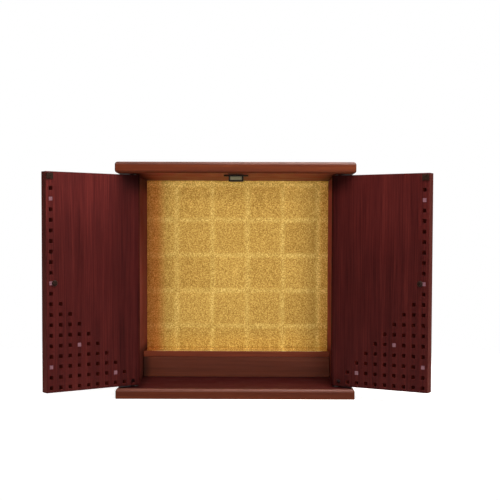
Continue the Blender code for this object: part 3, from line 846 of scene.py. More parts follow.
    # A lighter copy of the gold leaf on the step: painted light
    STEP_GOLD = (GoldLeaf(
        "step_gold_leaf", deep=(0.60, 0.38, 0.12), middle=(0.80, 0.55, 0.21),
        bright=(0.92, 0.70, 0.33), metallic=1.0, gloss=(0.10, 0.16), relief=0.00001),
                 "gold_paper")
    PEARL = (Pearl(), "pearl")
    BLACK_STEEL = (Metal(
        "black_lacquered_steel", base=(0.008, 0.007, 0.006), worn=(0.040, 0.034, 0.030),
        gloss=(0.34, 0.48), metallic=0.25, specular=0.15), "black_steel")
    BROWNED_STEEL = (Metal(
        "browned_steel", base=(0.012, 0.0048, 0.0030), worn=(0.036, 0.018, 0.011),
        gloss=(0.40, 0.55), metallic=0.10, specular=0.06), "black_steel")
    PLASTIC = (Moulding(
        "black_moulding", base=(0.006, 0.0055, 0.005), dusty=(0.014, 0.013, 0.012)),
               "black_plastic")
    NICKEL = (Metal(
        "dull_nickel", base=(0.112, 0.096, 0.054), worn=(0.20, 0.18, 0.12), gloss=(0.34, 0.50),
        metallic=0.85), "nickel")
    PIN_STEEL = (Metal(
        "oiled_steel", base=(0.095, 0.090, 0.085), worn=(0.26, 0.25, 0.24), gloss=(0.30, 0.44)),
                 "pin_steel")

    def material(self) -> Material:
        """The finish's material, built on first use."""
        maker = self.value[0]
        return bpy.data.materials.get(maker.name) or maker.material()

    @property
    def slot(self) -> str:
        """The record's slot."""
        return self.value[1]


# Mesh work

# Turns a piece over about its own X axis
TURNED_OVER = Matrix.Rotation(pi, 4, "X")


def mesh_from(name: str, shape: bmesh.types.BMesh) -> Mesh:
    """Turns a finished bmesh into mesh data and frees it.

    Args:
        name: The mesh's name.
        shape: The bmesh, used up by the call.

    Returns:
        The mesh, with its faces turned outward.
    """
    bmesh.ops.recalc_face_normals(shape, faces=shape.faces)
    mesh = bpy.data.meshes.new(name)
    shape.to_mesh(mesh)
    shape.free()
    return mesh


def board_mesh(name: str, low: Point, high: Point) -> Mesh:
    """A squared board between two corners.

    Args:
        name: The mesh's name.
        low: Lowest corner.
        high: Highest corner.

    Returns:
        The mesh.
    """
    shape = bmesh.new()
    near, far = Vector(low), Vector(high)
    place = Matrix.Translation((near + far) / 2) @ Matrix.Diagonal((*(far - near), 1.0))
    bmesh.ops.create_cube(shape, size=1.0, matrix=place)
    return mesh_from(name, shape)


def prism_mesh(name: str, outline: Sequence[Span], low: float, high: float,
               top_scale: float = 1.0) -> Mesh:
    """Raises a flat outline along Z.

    Args:
        name: The mesh's name.
        outline: Points of the outline, in order round it.
        low: Height of its foot.
        high: Height of its head.
        top_scale: Size of the head against the foot.

    Returns:
        The closed mesh.
    """
    shape = bmesh.new()
    foot = [shape.verts.new((x, y, low)) for x, y in outline]
    head = [shape.verts.new((x * top_scale, y * top_scale, high)) for x, y in outline]
    shape.faces.new(foot)
    shape.faces.new(head)
    for index, corner in enumerate(foot):
        following = (index + 1) % len(foot)
        shape.faces.new((corner, foot[following], head[following], head[index]))
    return mesh_from(name, shape)


def turned_mesh(name: str, profile: Sequence[Span], steps: int = 48) -> Mesh:
    """Spins a profile about the Z axis.

    Args:
        name: The mesh's name.
        profile: (radius, height) points; one that starts and ends on the axis is closed there.
        steps: Facets round the axis.

    Returns:
        The closed mesh.
    """
    shape = bmesh.new()
    rim = [shape.verts.new((radius, 0.0, height)) for radius, height in profile]
    edges = [shape.edges.new(pair) for pair in zip(rim, rim[1:])]
    if profile[0][0] > 0.0:
        edges.append(shape.edges.new((rim[-1], rim[0])))
    bmesh.ops.spin(shape, geom=rim + edges, axis=(0, 0, 1), cent=(0, 0, 0), angle=2 * pi,
                   steps=steps, use_merge=True)
    bmesh.ops.remove_doubles(shape, verts=shape.verts, dist=1e-7)
    return mesh_from(name, shape)


def rod_mesh(name: str, radius: float, low: float, high: float, place: Matrix) -> Mesh:
    """A plain rod about an axis.

    Args:
        name: The mesh's name.
        radius: The rod's radius.
        low: Where it starts on the axis.
        high: Where it ends.
        place: Takes the Z axis to the rod's own.

    Returns:
        The closed mesh, in place.
    """
    profile = [(0.0, high), (radius, high), (radius, low), (0.0, low)]
    return moved(turned_mesh(name, profile, BORE_STEPS), place)


def arc(centre: Span, radius: Span, start: float, end: float, steps: int) -> list[Span]:
    """Points along part of an oval, both ends included.

    Args:
        centre: Middle of the oval.
        radius: Its two half widths.
        start: First angle.
        end: Last angle.
        steps: Pieces between them.

    Returns:
        The points.
    """
    turns = [start + (end - start) * step / steps for step in range(steps + 1)]
    return [(centre[0] + radius[0] * cos(turn), centre[1] + radius[1] * sin(turn))
            for turn in turns]


def add_object(name: str, data: bpy.types.ID) -> Object:
    """Puts a mesh, a light or a camera in the scene.

    Args:
        name: The object's name.
        data: What it shows.

    Returns:
        The object.
    """
    item = bpy.data.objects.new(name, data)
    bpy.context.scene.collection.objects.link(item)
    return item


def link(mesh: Mesh) -> Object:
    """Puts a mesh in the scene as a working object."""
    return add_object(mesh.name, mesh)


def plain_result(carrier: Object) -> Mesh:
    """Reads what a working object's modifiers make, and removes the object.

    Args:
        carrier: The object with its modifiers.

    Returns:
        Plain mesh data.
    """
    depsgraph = bpy.context.evaluated_depsgraph_get()
    mesh = bpy.data.meshes.new_from_object(carrier.evaluated_get(depsgraph),
                                           preserve_all_data_layers=True, depsgraph=depsgraph)
    mesh.name = carrier.name
    bpy.data.objects.remove(carrier, do_unlink=True)
    return mesh


def worked(mesh: Mesh, *steps: tuple[str, dict[str, Input]]) -> Mesh:
    """Runs modifiers over a mesh.

    Args:
        mesh: The mesh to work.
        steps: Each modifier's type and settings.

    Returns:
        The worked mesh.
    """
    carrier = link(mesh)
    for kind, settings in steps:
        modifier = carrier.modifiers.new(kind.lower(), kind)
        for key, value in settings.items():
            setattr(modifier, key, value)
    return plain_result(carrier)


def eased(mesh: Mesh, width: float) -> Mesh:
    """Rounds a mesh's true edges over a small width."""
    return worked(mesh, ("BEVEL", {"width": width, "segments": 3, "limit_method": "ANGLE",
                                   "angle_limit": EASED_ANGLE}))


def combined(operation: str, mesh: Mesh, *others: Mesh) -> Mesh:
    """Adds closed meshes to a mesh, or takes them out of it.

    Args:
        operation: "UNION" or "DIFFERENCE".
        mesh: The mesh to work.
        others: Closed meshes, used up by the call.

    Returns:
        The worked mesh.
    """
    tools = [link(other) for other in others]
    steps = [("BOOLEAN", {"operation": operation, "solver": "EXACT", "object": tool})
             for tool in tools]
    result = worked(mesh, *steps)
    for tool in tools:
        bpy.data.objects.remove(tool, do_unlink=True)
    return result


def carved(mesh: Mesh, *cutters: Mesh) -> Mesh:
    """Takes closed cutters out of a mesh."""
    return combined("DIFFERENCE", mesh, *cutters)


def moved(mesh: Mesh, place: Matrix) -> Mesh:
    """Moves a mesh's points to a place.

    Args:
        mesh: The mesh to move.
        place: Where its own frame comes.

    Returns:
        The same mesh.
    """
    mesh.transform(place)
    mesh.update()
    return mesh


def settled(mesh: Mesh) -> Mesh:
    """Shades a mesh smooth over its roundings, with flat faces kept flat.

    Args:
        mesh: The mesh, used up by the call.

    Returns:
        The shaded mesh.
    """
    mesh.shade_smooth()
    mesh.set_sharp_from_angle(angle=SHARP_ANGLE)
    return worked(mesh, ("WEIGHTED_NORMAL", {"keep_sharp": True, "weight": 80}))


def grown(name: str, tree: Tree, settings: dict[str, Input], start: Mesh | None = None) -> Mesh:
    """Runs a geometry tree.

    Args:
        name: Name of the result.
        tree: The geometry tree.
        settings: Its inputs, by name.
        start: The mesh that it works on, if it needs one.

    Returns:
        Plain mesh data.
    """
    carrier = link(start or bpy.data.meshes.new(name))
    carrier.name = name
    modifier = carrier.modifiers.new("grow", "NODES")
    modifier.node_group = tree
    sockets = {item.name: item.identifier for item in tree.interface.items_tree
               if item.item_type == "SOCKET" and item.in_out == "INPUT"}
    for label, value in settings.items():
        modifier[sockets[label]] = value
    return plain_result(carrier)


def set_out(name: str, pattern: Mesh, places: Iterable[Point],
            settings: dict[str, Input]) -> Mesh:
    """Sets a small piece on each of several places.

    Args:
        name: Name of the result.
        pattern: The small piece, used up by the call.
        places: Where each one goes.
        settings: The other inputs of the tree that sets them.

    Returns:
        All of them as one mesh.
    """
    piece = link(pattern)
    spots = bpy.data.meshes.new(name)
    spots.from_pydata([tuple(place) for place in places], [], [])
    result = grown(name, setting_tree(), {"Piece": piece, **settings}, spots)
    bpy.data.objects.remove(piece, do_unlink=True)
    return result


def mark_grain(mesh: Mesh, along: Along, shift: float) -> Mesh:
    """Stores a board's own coordinates, grain direction first, for its veneer to read.

    Args:
        mesh: The board, before it is placed.
        along: The axis its grain runs along.
        shift: Moves the figure, so that no two boards are alike.

    Returns:
        The same mesh.
    """
    store = mesh.attributes.new(GRAIN, "FLOAT_VECTOR", "POINT")
    for vertex, item in zip(mesh.vertices, store.data):
        item.vector = [vertex.co[axis] + shift for axis in along.value]
    return mesh


def dress(mesh: Mesh, *finishes: Finish) -> None:
    """Gives a mesh its finishes, in the order in which its faces number them."""
    for finish in finishes:
        mesh.materials.append(finish.material())


def deliver(name: str, mesh: Mesh, body: Body, finish: Finish,
            stands_for: Iterable[str] = ()) -> None:
    """Makes a finished mesh a piece of the cabinet.

    Args:
        name: The piece's name.
        mesh: Its mesh, in place.
        body: The body it moves with.
        finish: Its finish.
        stands_for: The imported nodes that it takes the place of.
    """
    piece = add_object(name, mesh)
    mesh.name = name
    if not mesh.materials:
        dress(mesh, finish)
    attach(piece, body.value)
    if stands_for:
        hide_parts(*stands_for)
    LOG.info("%s: %d faces on %s", name, len(mesh.polygons), body.value)


# Geometry trees

def row_and_column(sheet: Sheet, columns: Input) -> tuple[Socket, Socket]:
    """The row and the column of each point, where points are counted row by row.

    Args:
        sheet: The tree's sheet.
        columns: Points in a row.

    Returns:
        The row's output and the column's.
    """
    index = sheet.first("GeometryNodeInputIndex")
    row = sheet.calc("FLOOR", sheet.calc("DIVIDE", sheet.plus(index, 0.5), columns))
    return row, sheet.minus(index, sheet.times(row, columns))


def placed_points(sheet: Sheet, geometry: Input, place: Input) -> Socket:
    """Moves points to a place."""
    return sheet.first("GeometryNodeSetPosition", {"Geometry": geometry, "Position": place})


def dressed_whole(sheet: Sheet, geometry: Input, finish: Input) -> Socket:
    """Makes instances real and gives the whole its finish."""
    whole = sheet.first("GeometryNodeRealizeInstances", {"Geometry": geometry})
    return sheet.first("GeometryNodeSetMaterial", {"Geometry": whole, "Material": finish})


@cache
def lattice_tree() -> Tree:
    """Cuts a stepped lattice of square holes, with chamfered mouths, through a door board.

    The board stands with its thickness along Y and its free edge at the given reach. Rows are
    counted down from the top and columns in from the free edge.

    Returns:
        The geometry tree.
    """
    inputs = [("Board", GEOMETRY, None), ("Hole Side", FLOAT, 0.005), ("Taper", FLOAT, 0.0003),
              ("Mouth Chamfer", FLOAT, 0.0001), ("Pitch", FLOAT, 0.0126), ("Rows", WHOLE, 20),
              ("Columns", WHOLE, 10), ("Single Rows", WHOLE, 10), ("First Reach", FLOAT, 0.12),
              ("Foot Height", FLOAT, 0.02), ("Side", FLOAT, 1.0),
              ("Board Thickness", FLOAT, 0.012), ("Finish", FINISH, None)]
    sheet, given, result = new_tree("GeometryNodeTree", "door_lattice", inputs,
                                    [("Board", GEOMETRY)])

    # The chisel: four stations through the board, the outer two flared past its faces
    line = sheet.first("GeometryNodeCurvePrimitiveLine",
                       {"Start": (0.0, -1.0, 0.0), "End": (0.0, 1.0, 0.0)})
    stations = sheet.first("GeometryNodeResampleCurve", {"Curve": line, "Count": 4})
    from_middle = sheet.minus(sheet.first("GeometryNodeInputIndex"), 1.5)
    outer = sheet.calc("GREATER_THAN", sheet.calc("ABSOLUTE", from_middle), 1.0)
    half = sheet.times(given["Board Thickness"], 0.5)
    inner_half = sheet.minus(half, given["Mouth Chamfer"])
    flare = sheet.plus(given["Mouth Chamfer"], OVERRUN)
    reach = sheet.calc("MULTIPLY_ADD", outer, flare, inner_half)
    station_y = sheet.times(reach, sheet.calc("SIGN", from_middle))
    spine = placed_points(sheet, stations, sheet.together(y=station_y))
    taper = sheet.times(sheet.calc("LESS_THAN", from_middle, 0.0), given["Taper"])
    width = sheet.calc("MULTIPLY_ADD", sheet.times(outer, flare), 2.0,
                       sheet.minus(given["Hole Side"], taper))
    square = sheet.first("GeometryNodeCurvePrimitiveQuadrilateral",
                         {"Width": 1.0, "Height": 1.0})
    chisel = sheet.first("GeometryNodeCurveToMesh", {
        "Curve": spine, "Profile Curve": square, "Scale": width, "Fill Caps": True})

    # One chisel for each hole: one column in the upper rows, one more in each row below them
    row, column = row_and_column(sheet, given["Columns"])
    below = sheet.minus(sheet.plus(row, 1.0), given["Single Rows"])
    in_row = sheet.calc("MAXIMUM", below, 1.0)
    wanted = sheet.calc("LESS_THAN", column, sheet.minus(in_row, 0.5))
    from_pivot = sheet.minus(given["First Reach"], sheet.times(column, given["Pitch"]))
    rows_left = sheet.minus(sheet.minus(given["Rows"], 1.0), row)
    height = sheet.calc("MULTIPLY_ADD", rows_left, given["Pitch"], given["Foot Height"])
    spot = sheet.together(x=sheet.times(from_pivot, given["Side"]), z=height)
    count = sheet.times(given["Rows"], given["Columns"])
    cells = placed_points(sheet, sheet.first("GeometryNodePoints", {"Count": count}), spot)
    chisels = sheet.first("GeometryNodeInstanceOnPoints", {
        "Points": cells, "Selection": wanted, "Instance": chisel})
    chisels = sheet.first("GeometryNodeRealizeInstances", {"Geometry": chisels})
    cut = sheet.add("GeometryNodeMeshBoolean", operation="DIFFERENCE", solver="EXACT")
    sheet.feed(cut.inputs["Mesh 1"], given["Board"])
    sheet.feed(cut.inputs["Mesh 2"], chisels)
    sheet.feed(result["Board"], dressed_whole(sheet, cut.outputs[0], given["Finish"]))
    return sheet.tree


@cache
def setting_tree() -> Tree:
    """Sets one small piece on every point of a mesh, each turned a little about one axis.

    Returns:
        The geometry tree.
    """
    inputs = [("Places", GEOMETRY, None), ("Piece", OBJECT, None),
              ("Turn Axis", VECTOR, (0.0, 0.0, 1.0)), ("Most Turn", FLOAT, 0.0),
              ("Seed", WHOLE, 1), ("Finish", FINISH, None)]
    sheet, given, result = new_tree("GeometryNodeTree", "set_on_points", inputs,
                                    [("Pieces", GEOMETRY)])
    shape = sheet.add("GeometryNodeObjectInfo", {"Object": given["Piece"]}).outputs["Geometry"]
    chance = sheet.live("FunctionNodeRandomValue",
                        {"Min": -1.0, "Max": 1.0, "Seed": given["Seed"]}, "FLOAT")
    turn = sheet.times(chance, given["Most Turn"])
    rotation = sheet.first("ShaderNodeVectorMath", {0: given["Turn Axis"], "Scale": turn},
                           operation="SCALE")
    points = sheet.first("GeometryNodeMeshToPoints", {"Mesh": given["Places"]})
    pieces = sheet.first("GeometryNodeInstanceOnPoints", {
        "Points": points, "Instance": shape, "Rotation": rotation})
    sheet.feed(result["Pieces"], dressed_whole(sheet, pieces, given["Finish"]))
    return sheet.tree


@cache
def leaf_tree() -> Tree:
    """Lays gold leaves in overlapping rows over a thin sheet, with ragged edges.

    The sheet lies in X and Y from its corner at the origin, and the leaves rise from it along Z.
    Each leaf keeps its distance from its own edge and a tone of its own for its finish.

    Returns:
        The geometry tree.
    """
    inputs = [("Width", FLOAT, 0.25), ("Height", FLOAT, 0.25), ("Sheet Thickness", FLOAT, 0.001),
              ("Pitch", FLOAT, 0.0495), ("Overlap", FLOAT, 0.0045),
              ("Leaf Thickness", FLOAT, 0.00005), ("First Column", FLOAT, 0.0),
              ("First Row", FLOAT, 0.0), ("Columns", WHOLE, 6), ("Rows", WHOLE, 6),
              ("Wander", FLOAT, 0.0006), ("Raggedness", FLOAT, 0.0016), ("Seed", WHOLE, 1),
              ("Finish", FINISH, None)]
    sheet, given, result = new_tree("GeometryNodeTree", "gold_leaf_squares", inputs,
                                    [("Sheet", GEOMETRY)])
    number, vector = "FLOAT", "FLOAT_VECTOR"

    def store(geometry: Input, label: str, value: Input, kind: str = number) -> Socket:
        """Keeps a value on the points."""
        return sheet.first("GeometryNodeStoreNamedAttribute",
                           {"Geometry": geometry, "Name": label, "Value": value},
                           data_type=kind, domain="POINT")

    def kept(label: str, kind: str = number) -> Socket:
        """Reads a kept value back."""
        return sheet.live("GeometryNodeInputNamedAttribute", {"Name": label}, kind)

    def chance(low: Input, high: Input, salt: float, kind: str) -> Socket:
        """A random value for each point."""
        seed = sheet.plus(given["Seed"], salt)
        return sheet.live("FunctionNodeRandomValue", {"Min": low, "Max": high, "Seed": seed}, kind)

    def least(place: Socket) -> Socket:
        """The smaller of a vector's X and Y."""
        return sheet.calc("MINIMUM", *sheet.apart(place)[:2])

    # Where each leaf lies, cut off at the sheet's edges
    row, column = row_and_column(sheet, given["Columns"])
    shove = chance((-1.0, -1.0, -1.0), (1.0, 1.0, 1.0), 3.0, vector)
    shove = sheet.vector("MULTIPLY", shove, sheet.together(given["Wander"], given["Wander"]))
    corner = sheet.together(
        sheet.calc("MULTIPLY_ADD", column, given["Pitch"], given["First Column"]),
        sheet.calc("MULTIPLY_ADD", row, given["Pitch"], given["First Row"]))
    corner = sheet.vector("ADD", corner, shove)
    lap = sheet.times(given["Overlap"], 0.5)
    low = sheet.vector("SUBTRACT", corner, sheet.together(lap, lap))
    run = sheet.plus(given["Pitch"], given["Overlap"])
    high = sheet.vector("ADD", low, sheet.together(run, run))
    limit = sheet.together(given["Width"], given["Height"])
    cut_low = sheet.vector("MAXIMUM", low, (0.0, 0.0, 0.0))
    cut_high = sheet.vector("MINIMUM", high, limit)
    size_x, size_y, _ = sheet.apart(sheet.vector("SUBTRACT", cut_high, cut_low))
    sliver = 0.0008
    shown = sheet.times(sheet.calc("GREATER_THAN", size_x, sliver),
                        sheet.calc("GREATER_THAN", size_y, sliver))

    # Its height: four layers, so that no leaf meets a neighbour in the same one
    parity = sheet.plus(sheet.calc("MODULO", column, 2.0),
                        sheet.times(sheet.calc("MODULO", row, 2.0), 2.0))
    layer = sheet.times(sheet.plus(parity, 0.5), given["Leaf Thickness"])
    middle = sheet.vector("MULTIPLY", sheet.vector("ADD", cut_low, cut_high), (0.5, 0.5, 0.0))
    lift = sheet.together(z=sheet.plus(layer, given["Sheet Thickness"]))
    leaf_size = sheet.together(size_x, size_y, sheet.times(given["Leaf Thickness"], 0.8))
    count = sheet.times(given["Rows"], given["Columns"])
    points = sheet.first("GeometryNodePoints", {"Count": count})
    points = store(points, "leaf_low", low, vector)
    points = store(points, "leaf_high", high, vector)
    points = store(points, "leaf_size", leaf_size, vector)
    points = store(points, "leaf_shown", shown)
    points = store(points, LEAF_TONE, chance(0.0, 1.0, 9.0, number))
    points = placed_points(sheet, points, sheet.vector("ADD", middle, lift))
    leaf = sheet.first("GeometryNodeMeshCube",
                       {"Size": (1.0, 1.0, 1.0), "Vertices X": 22, "Vertices Y": 22})
    leaves = sheet.first("GeometryNodeInstanceOnPoints", {
        "Points": points, "Selection": kept("leaf_shown"), "Instance": leaf,
        "Scale": kept("leaf_size", vector)})
    leaves = sheet.first("GeometryNodeRealizeInstances", {"Geometry": leaves})

    # Its edges pushed about, except along the edges of the sheet
    here = sheet.first("GeometryNodeInputPosition")
    from_low = sheet.vector("SUBTRACT", here, kept("leaf_low", vector))
    from_high = sheet.vector("SUBTRACT", kept("leaf_high", vector), here)
    leaves = store(leaves, LEAF_EDGE, least(sheet.vector("MINIMUM", from_low, from_high)))
    border = sheet.vector("MINIMUM", here, sheet.vector("SUBTRACT", limit, here))
    free = sheet.times(sheet.remap(kept(LEAF_EDGE), 0.005, 0.001),
                       sheet.remap(least(border), 0.0005, 0.003))
    here_x, here_y, _ = sheet.apart(here)
    seat = sheet.together(here_x, here_y, sheet.times(kept(LEAF_TONE), 3.0))
    reach = sheet.times(sheet.times(free, given["Raggedness"]), 2.0)
    push = sheet.together(*(sheet.swing(sheet.noise(place, 170.0, 3.0, 0.7), reach)
                            for place in (seat, sheet.vector("ADD", seat, (5.0, 5.0, 5.0)))))
    leaves = sheet.first("GeometryNodeSetPosition", {"Geometry": leaves, "Offset": push})
    for label in ("leaf_low", "leaf_high", "leaf_size", "leaf_shown"):
        leaves = sheet.first("GeometryNodeRemoveAttribute", {"Geometry": leaves, "Name": label})

    # The sheet under them
    backing_size = sheet.together(given["Width"], given["Height"], given["Sheet Thickness"])
    backing = sheet.first("GeometryNodeMeshCube", {"Size": backing_size})
    backing = store(backing, LEAF_EDGE, 1.0)
    backing = store(backing, LEAF_TONE, 0.0)
    half_size = sheet.vector("MULTIPLY", backing_size, (0.5, 0.5, 0.5))
    backing = sheet.first("GeometryNodeSetPosition", {"Geometry": backing, "Offset": half_size})
    whole = sheet.add("GeometryNodeJoinGeometry")
    sheet.feed(whole.inputs[0], leaves)
    sheet.feed(whole.inputs[0], backing)
    sheet.feed(result["Sheet"], dressed_whole(sheet, whole.outputs[0], given["Finish"]))
    return sheet.tree


# Small turned and cut fittings

def plus_outline(arm: float, width: float) -> list[Span]:
    """Outline of a plus sign.

    Args:
        arm: Half its span.
        width: Width of an arm.

    Returns:
        The outline's points.
    """
    half = width / 2
    quarter = [(arm, -half), (arm, half), (half, half)]
    points = []
    for across, up in ((1, 0), (0, 1), (-1, 0), (0, -1)):
        points += [(x * across - y * up, x * up + y * across) for x, y in quarter]
    return points


@dataclass(frozen=True)
class Screw:
    """A cross-recessed screw, its head's underside at z = 0 and its shank below."""

    head_radius: float
    head_height: float
    shank_radius: float
    shank_length: float
    countersunk: bool = False
    tip_share: float = 0.3
    face_share: float = 0.94
    rim_share: float = 0.9
    brim_share: float = 0.25
    underside_share: float = 0.97
    recess_arm: float = 0.55
    recess_width: float = 0.26
    recess_depth: float = 0.6
    recess_taper: float = 0.6

    def mesh(self, name: str) -> Mesh:
        """Builds the screw.

        Args:
            name: The mesh's name.

        Returns:
            The closed mesh.
        """
        radius, height, shank = self.head_radius, self.head_height, self.shank_radius
        tip = [(shank, -self.shank_length + shank), (shank * self.tip_share, -self.shank_length),
               (0.0, -self.shank_length)]
        if self.countersunk:
            head = [(0.0, height), (radius * self.face_share, height),
                    (radius, height * self.rim_share), (shank, 0.0)]
        else:
            brim = self.brim_share
            dome = arc((0.0, height * brim), (radius, height * (1.0 - brim)), pi / 2, 0.0, 8)
            dome[0] = (0.0, height)
            head = dome + [(radius * self.underside_share, 0.0), (shank, 0.0)]
        cross = plus_outline(radius * self.recess_arm, radius * self.recess_width)
        recess = prism_mesh(name + "_recess", cross, height + OVERRUN,
                            height - height * self.recess_depth, self.recess_taper)
        return carved(turned_mesh(name, head + tip), recess)


@dataclass
class Knob:
    """A turned pull, its foot at z = 0: a crown, a narrow neck and a foot bored for a screw.

    Each pair is a radius and a height.
    """

    top: float = 0.0112
    crown_at: Span = (0.0, 0.0078)
    crown_size: Span = (0.0052, 0.0034)
    under_at: Span = (0.0028, 0.0078)
    under_size: Span = (0.0024, 0.0031)
    neck: tuple[Span, ...] = ((0.0028, 0.0040), (0.0030, 0.0028))
    flare_at: Span = (0.0048, 0.0026)
    flare_size: Span = (0.0016, 0.0012)
    foot: Span = (0.0048, 0.0012)
    bore: Span = (0.0016, 0.007)

    def mesh(self, name: str) -> Mesh:
        """Builds the knob.

        Args:
            name: The mesh's name.

        Returns:
            The closed mesh.
        """
        crown = arc(self.crown_at, self.crown_size, pi / 2, 0.0, 14)
        crown[0] = (0.0, self.top)
        under = arc(self.under_at, self.under_size, 0.0, -pi / 2, 8)[1:]
        flare = arc(self.flare_at, self.flare_size, pi, 3 * pi / 2, 6)
        bore, deep = self.bore
        foot = [self.foot, (self.foot[0], 0.0), (bore, 0.0), (bore, deep), (0.0, deep)]
        return turned_mesh(name, [*crown, *under, *self.neck, *flare, *foot], 64)


# Sub-assemblies

@dataclass
class Slabs:
    """The base and the top: veneered boards rounded along their fronts and ends."""

    rounding: float = 0.0035
    corner_share: float = 0.34
    segments: int = 8
    pin_depth: float = 0.0073
    pin_x: float = 0.1275
    pin_y: float = -0.0655
    screw_x: float = 0.1305
    screw_rows: tuple[float, ...] = (-0.036, 0.014, 0.064)
    screw_sink: float = 0.0004
    screw_clearance: float = 0.0002
    screw: Screw = Screw(0.0036, 0.0022, 0.0016, 0.0110, countersunk=True)

    def rounded(self, name: str, node: str, lower_edges_too: bool) -> Mesh:
        """Rounds a slab's front and end edges.

        Args:
            name: The mesh's name.
            node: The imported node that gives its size.
            lower_edges_too: True to round below as well as above.

        Returns:
            The mesh.
        """
        low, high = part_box(node)
        mesh = board_mesh(name, low, high)
        weights = mesh.attributes.new("bevel_weight_edge", "FLOAT", "EDGE")
        middle_z = (low.z + high.z) / 2
        for edge in mesh.edges:
            start, end = (mesh.vertices[index].co for index in edge.vertices)
            centre = (start + end) / 2
            at_rear = centre.y > high.y - OVERRUN
            if abs(end.z - start.z) > 0:
                share = 0.0 if at_rear else self.corner_share
            else:
                share = float(not at_rear and (centre.z > middle_z or lower_edges_too))
            weights.data[edge.index].value = share
        settings = {"limit_method": "WEIGHT", "width": self.rounding, "segments": self.segments}
        return worked(mesh, ("BEVEL", settings))

    def veneer(self, mesh: Mesh, inside: Finish, inside_z: float) -> None:
        """Gives a slab the finishes of its faces, its rounded upper edges with their painted
        highlight, and its inner face.

        Args:
            mesh: The slab.
            inside: Finish of the face towards the inside.
            inside_z: Height of that face.
        """
        dress(mesh, Finish.SLAB, Finish.ROUNDING, inside)
        for face in mesh.polygons:
            level = abs(face.normal.z) > LEVEL
            if level and abs(face.center.z - inside_z) < self.screw_sink:
                face.material_index = 2
            else:
                face.material_index = int(UPRIGHT < face.normal.z < LEVEL)

    def pin_bores(self, name: str, low: float, high: float) -> list[Mesh]:
        """Cutters for the two pin bores between two heights."""
        return [rod_mesh(f"{name}_{side}", PIN_BORE_RADIUS, low, high,
                         Matrix.Translation((side * self.pin_x, self.pin_y, 0)))
                for side in (-1, 1)]

    def countersink(self, spot: Vector) -> Mesh:
        """Cutter for one screw from below, a little larger than the screw.

        Args:
            spot: Where the underside of the screw's head comes.

        Returns:
            The closed mesh, in place.
        """
        screw, clear = self.screw, self.screw_clearance
        shank, head = screw.shank_radius + clear, screw.head_radius + clear
        tip, mouth = screw.shank_length + clear, -screw.head_height - OVERRUN
        profile = [(0.0, tip), (shank, tip), (shank, -clear), (head, -screw.head_height),
                   (head, mouth), (0.0, mouth)]
        return moved(turned_mesh("countersink", profile), Matrix.Translation(spot))

    def slab(self, word: str, overhead: bool, inside: Finish, shift: float,
             cutters: Sequence[Mesh]) -> None:
        """Builds and delivers one slab.

        Args:
            word: "base" or "top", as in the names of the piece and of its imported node.
            overhead: True for the slab whose inner face is its lower one.
            inside: Finish of its inner face.
            shift: Moves its figure.
            cutters: What is cut out of it.
        """
        name, node = word + "_board", word + "_slab"
        low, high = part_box(node)
        mesh = carved(self.rounded(name, node, lower_edges_too=overhead), *cutters)
        mesh = mark_grain(settled(mesh), Along.X, shift)
        self.veneer(mesh, inside, low.z if overhead else high.z)
        deliver(name, mesh, Body.CABINET, Finish.SLAB, [node])

    def build(self) -> None:
        """Builds and delivers both slabs, and the screws under the base."""
        _, base_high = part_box("base_slab")
        places = [Vector((side * self.screw_x, y, self.screw.head_height + self.screw_sink))
                  for side in (-1, 1) for y in self.screw_rows]
        bores = self.pin_bores("base_bore", base_high.z - self.pin_depth, base_high.z + OVERRUN)
        sinks = [self.countersink(spot) for spot in places]
        self.slab("base", False, Finish.FLOOR, 0.31, bores + sinks)

        top_low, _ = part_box("top_slab")
        bores = self.pin_bores("top_bore", top_low.z - OVERRUN, top_low.z + self.pin_depth)
        self.slab("top", True, Finish.INNER, 1.73, bores)

        pattern = moved(self.screw.mesh("base_screw"), TURNED_OVER)
        settings = {"Most Turn": pi / 4, "Seed": 4, "Finish": Finish.PIN_STEEL.material()}
        screws = set_out("base_screws", pattern, places, settings)
        deliver("base_screws", settled(screws), Body.CABINET, Finish.PIN_STEEL)


@dataclass
class Carcass:
    """Side walls, back board, riser and step board."""

    easing: float = 0.0005
    paper: float = 0.0004

    def build(self) -> None:
        """Builds and delivers every board, the step board thinner by its gold paper."""
        for name, node, finish, along, shift, trim in (
                ("wall_left", "side_wall_left", Finish.WALL_LEFT, Along.Z, 2.41, 0.0),
                ("wall_right", "side_wall_right", Finish.WALL_RIGHT, Along.Z, 3.17, 0.0),
                ("back_panel", "back_board", Finish.BACKING, Along.Z, 4.09, 0.0),
                ("riser_board", "step_riser", Finish.RISER, Along.X, 5.23, 0.0),
                ("step_board", "step_top", Finish.STEP_WOOD, Along.X, 6.37, self.paper)):
            low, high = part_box(node)
            mesh = eased(board_mesh(name, low, high - Vector((0.0, 0.0, trim))), self.easing)
            deliver(name, mark_grain(settled(mesh), along, shift), Body.CABINET, finish, [node])


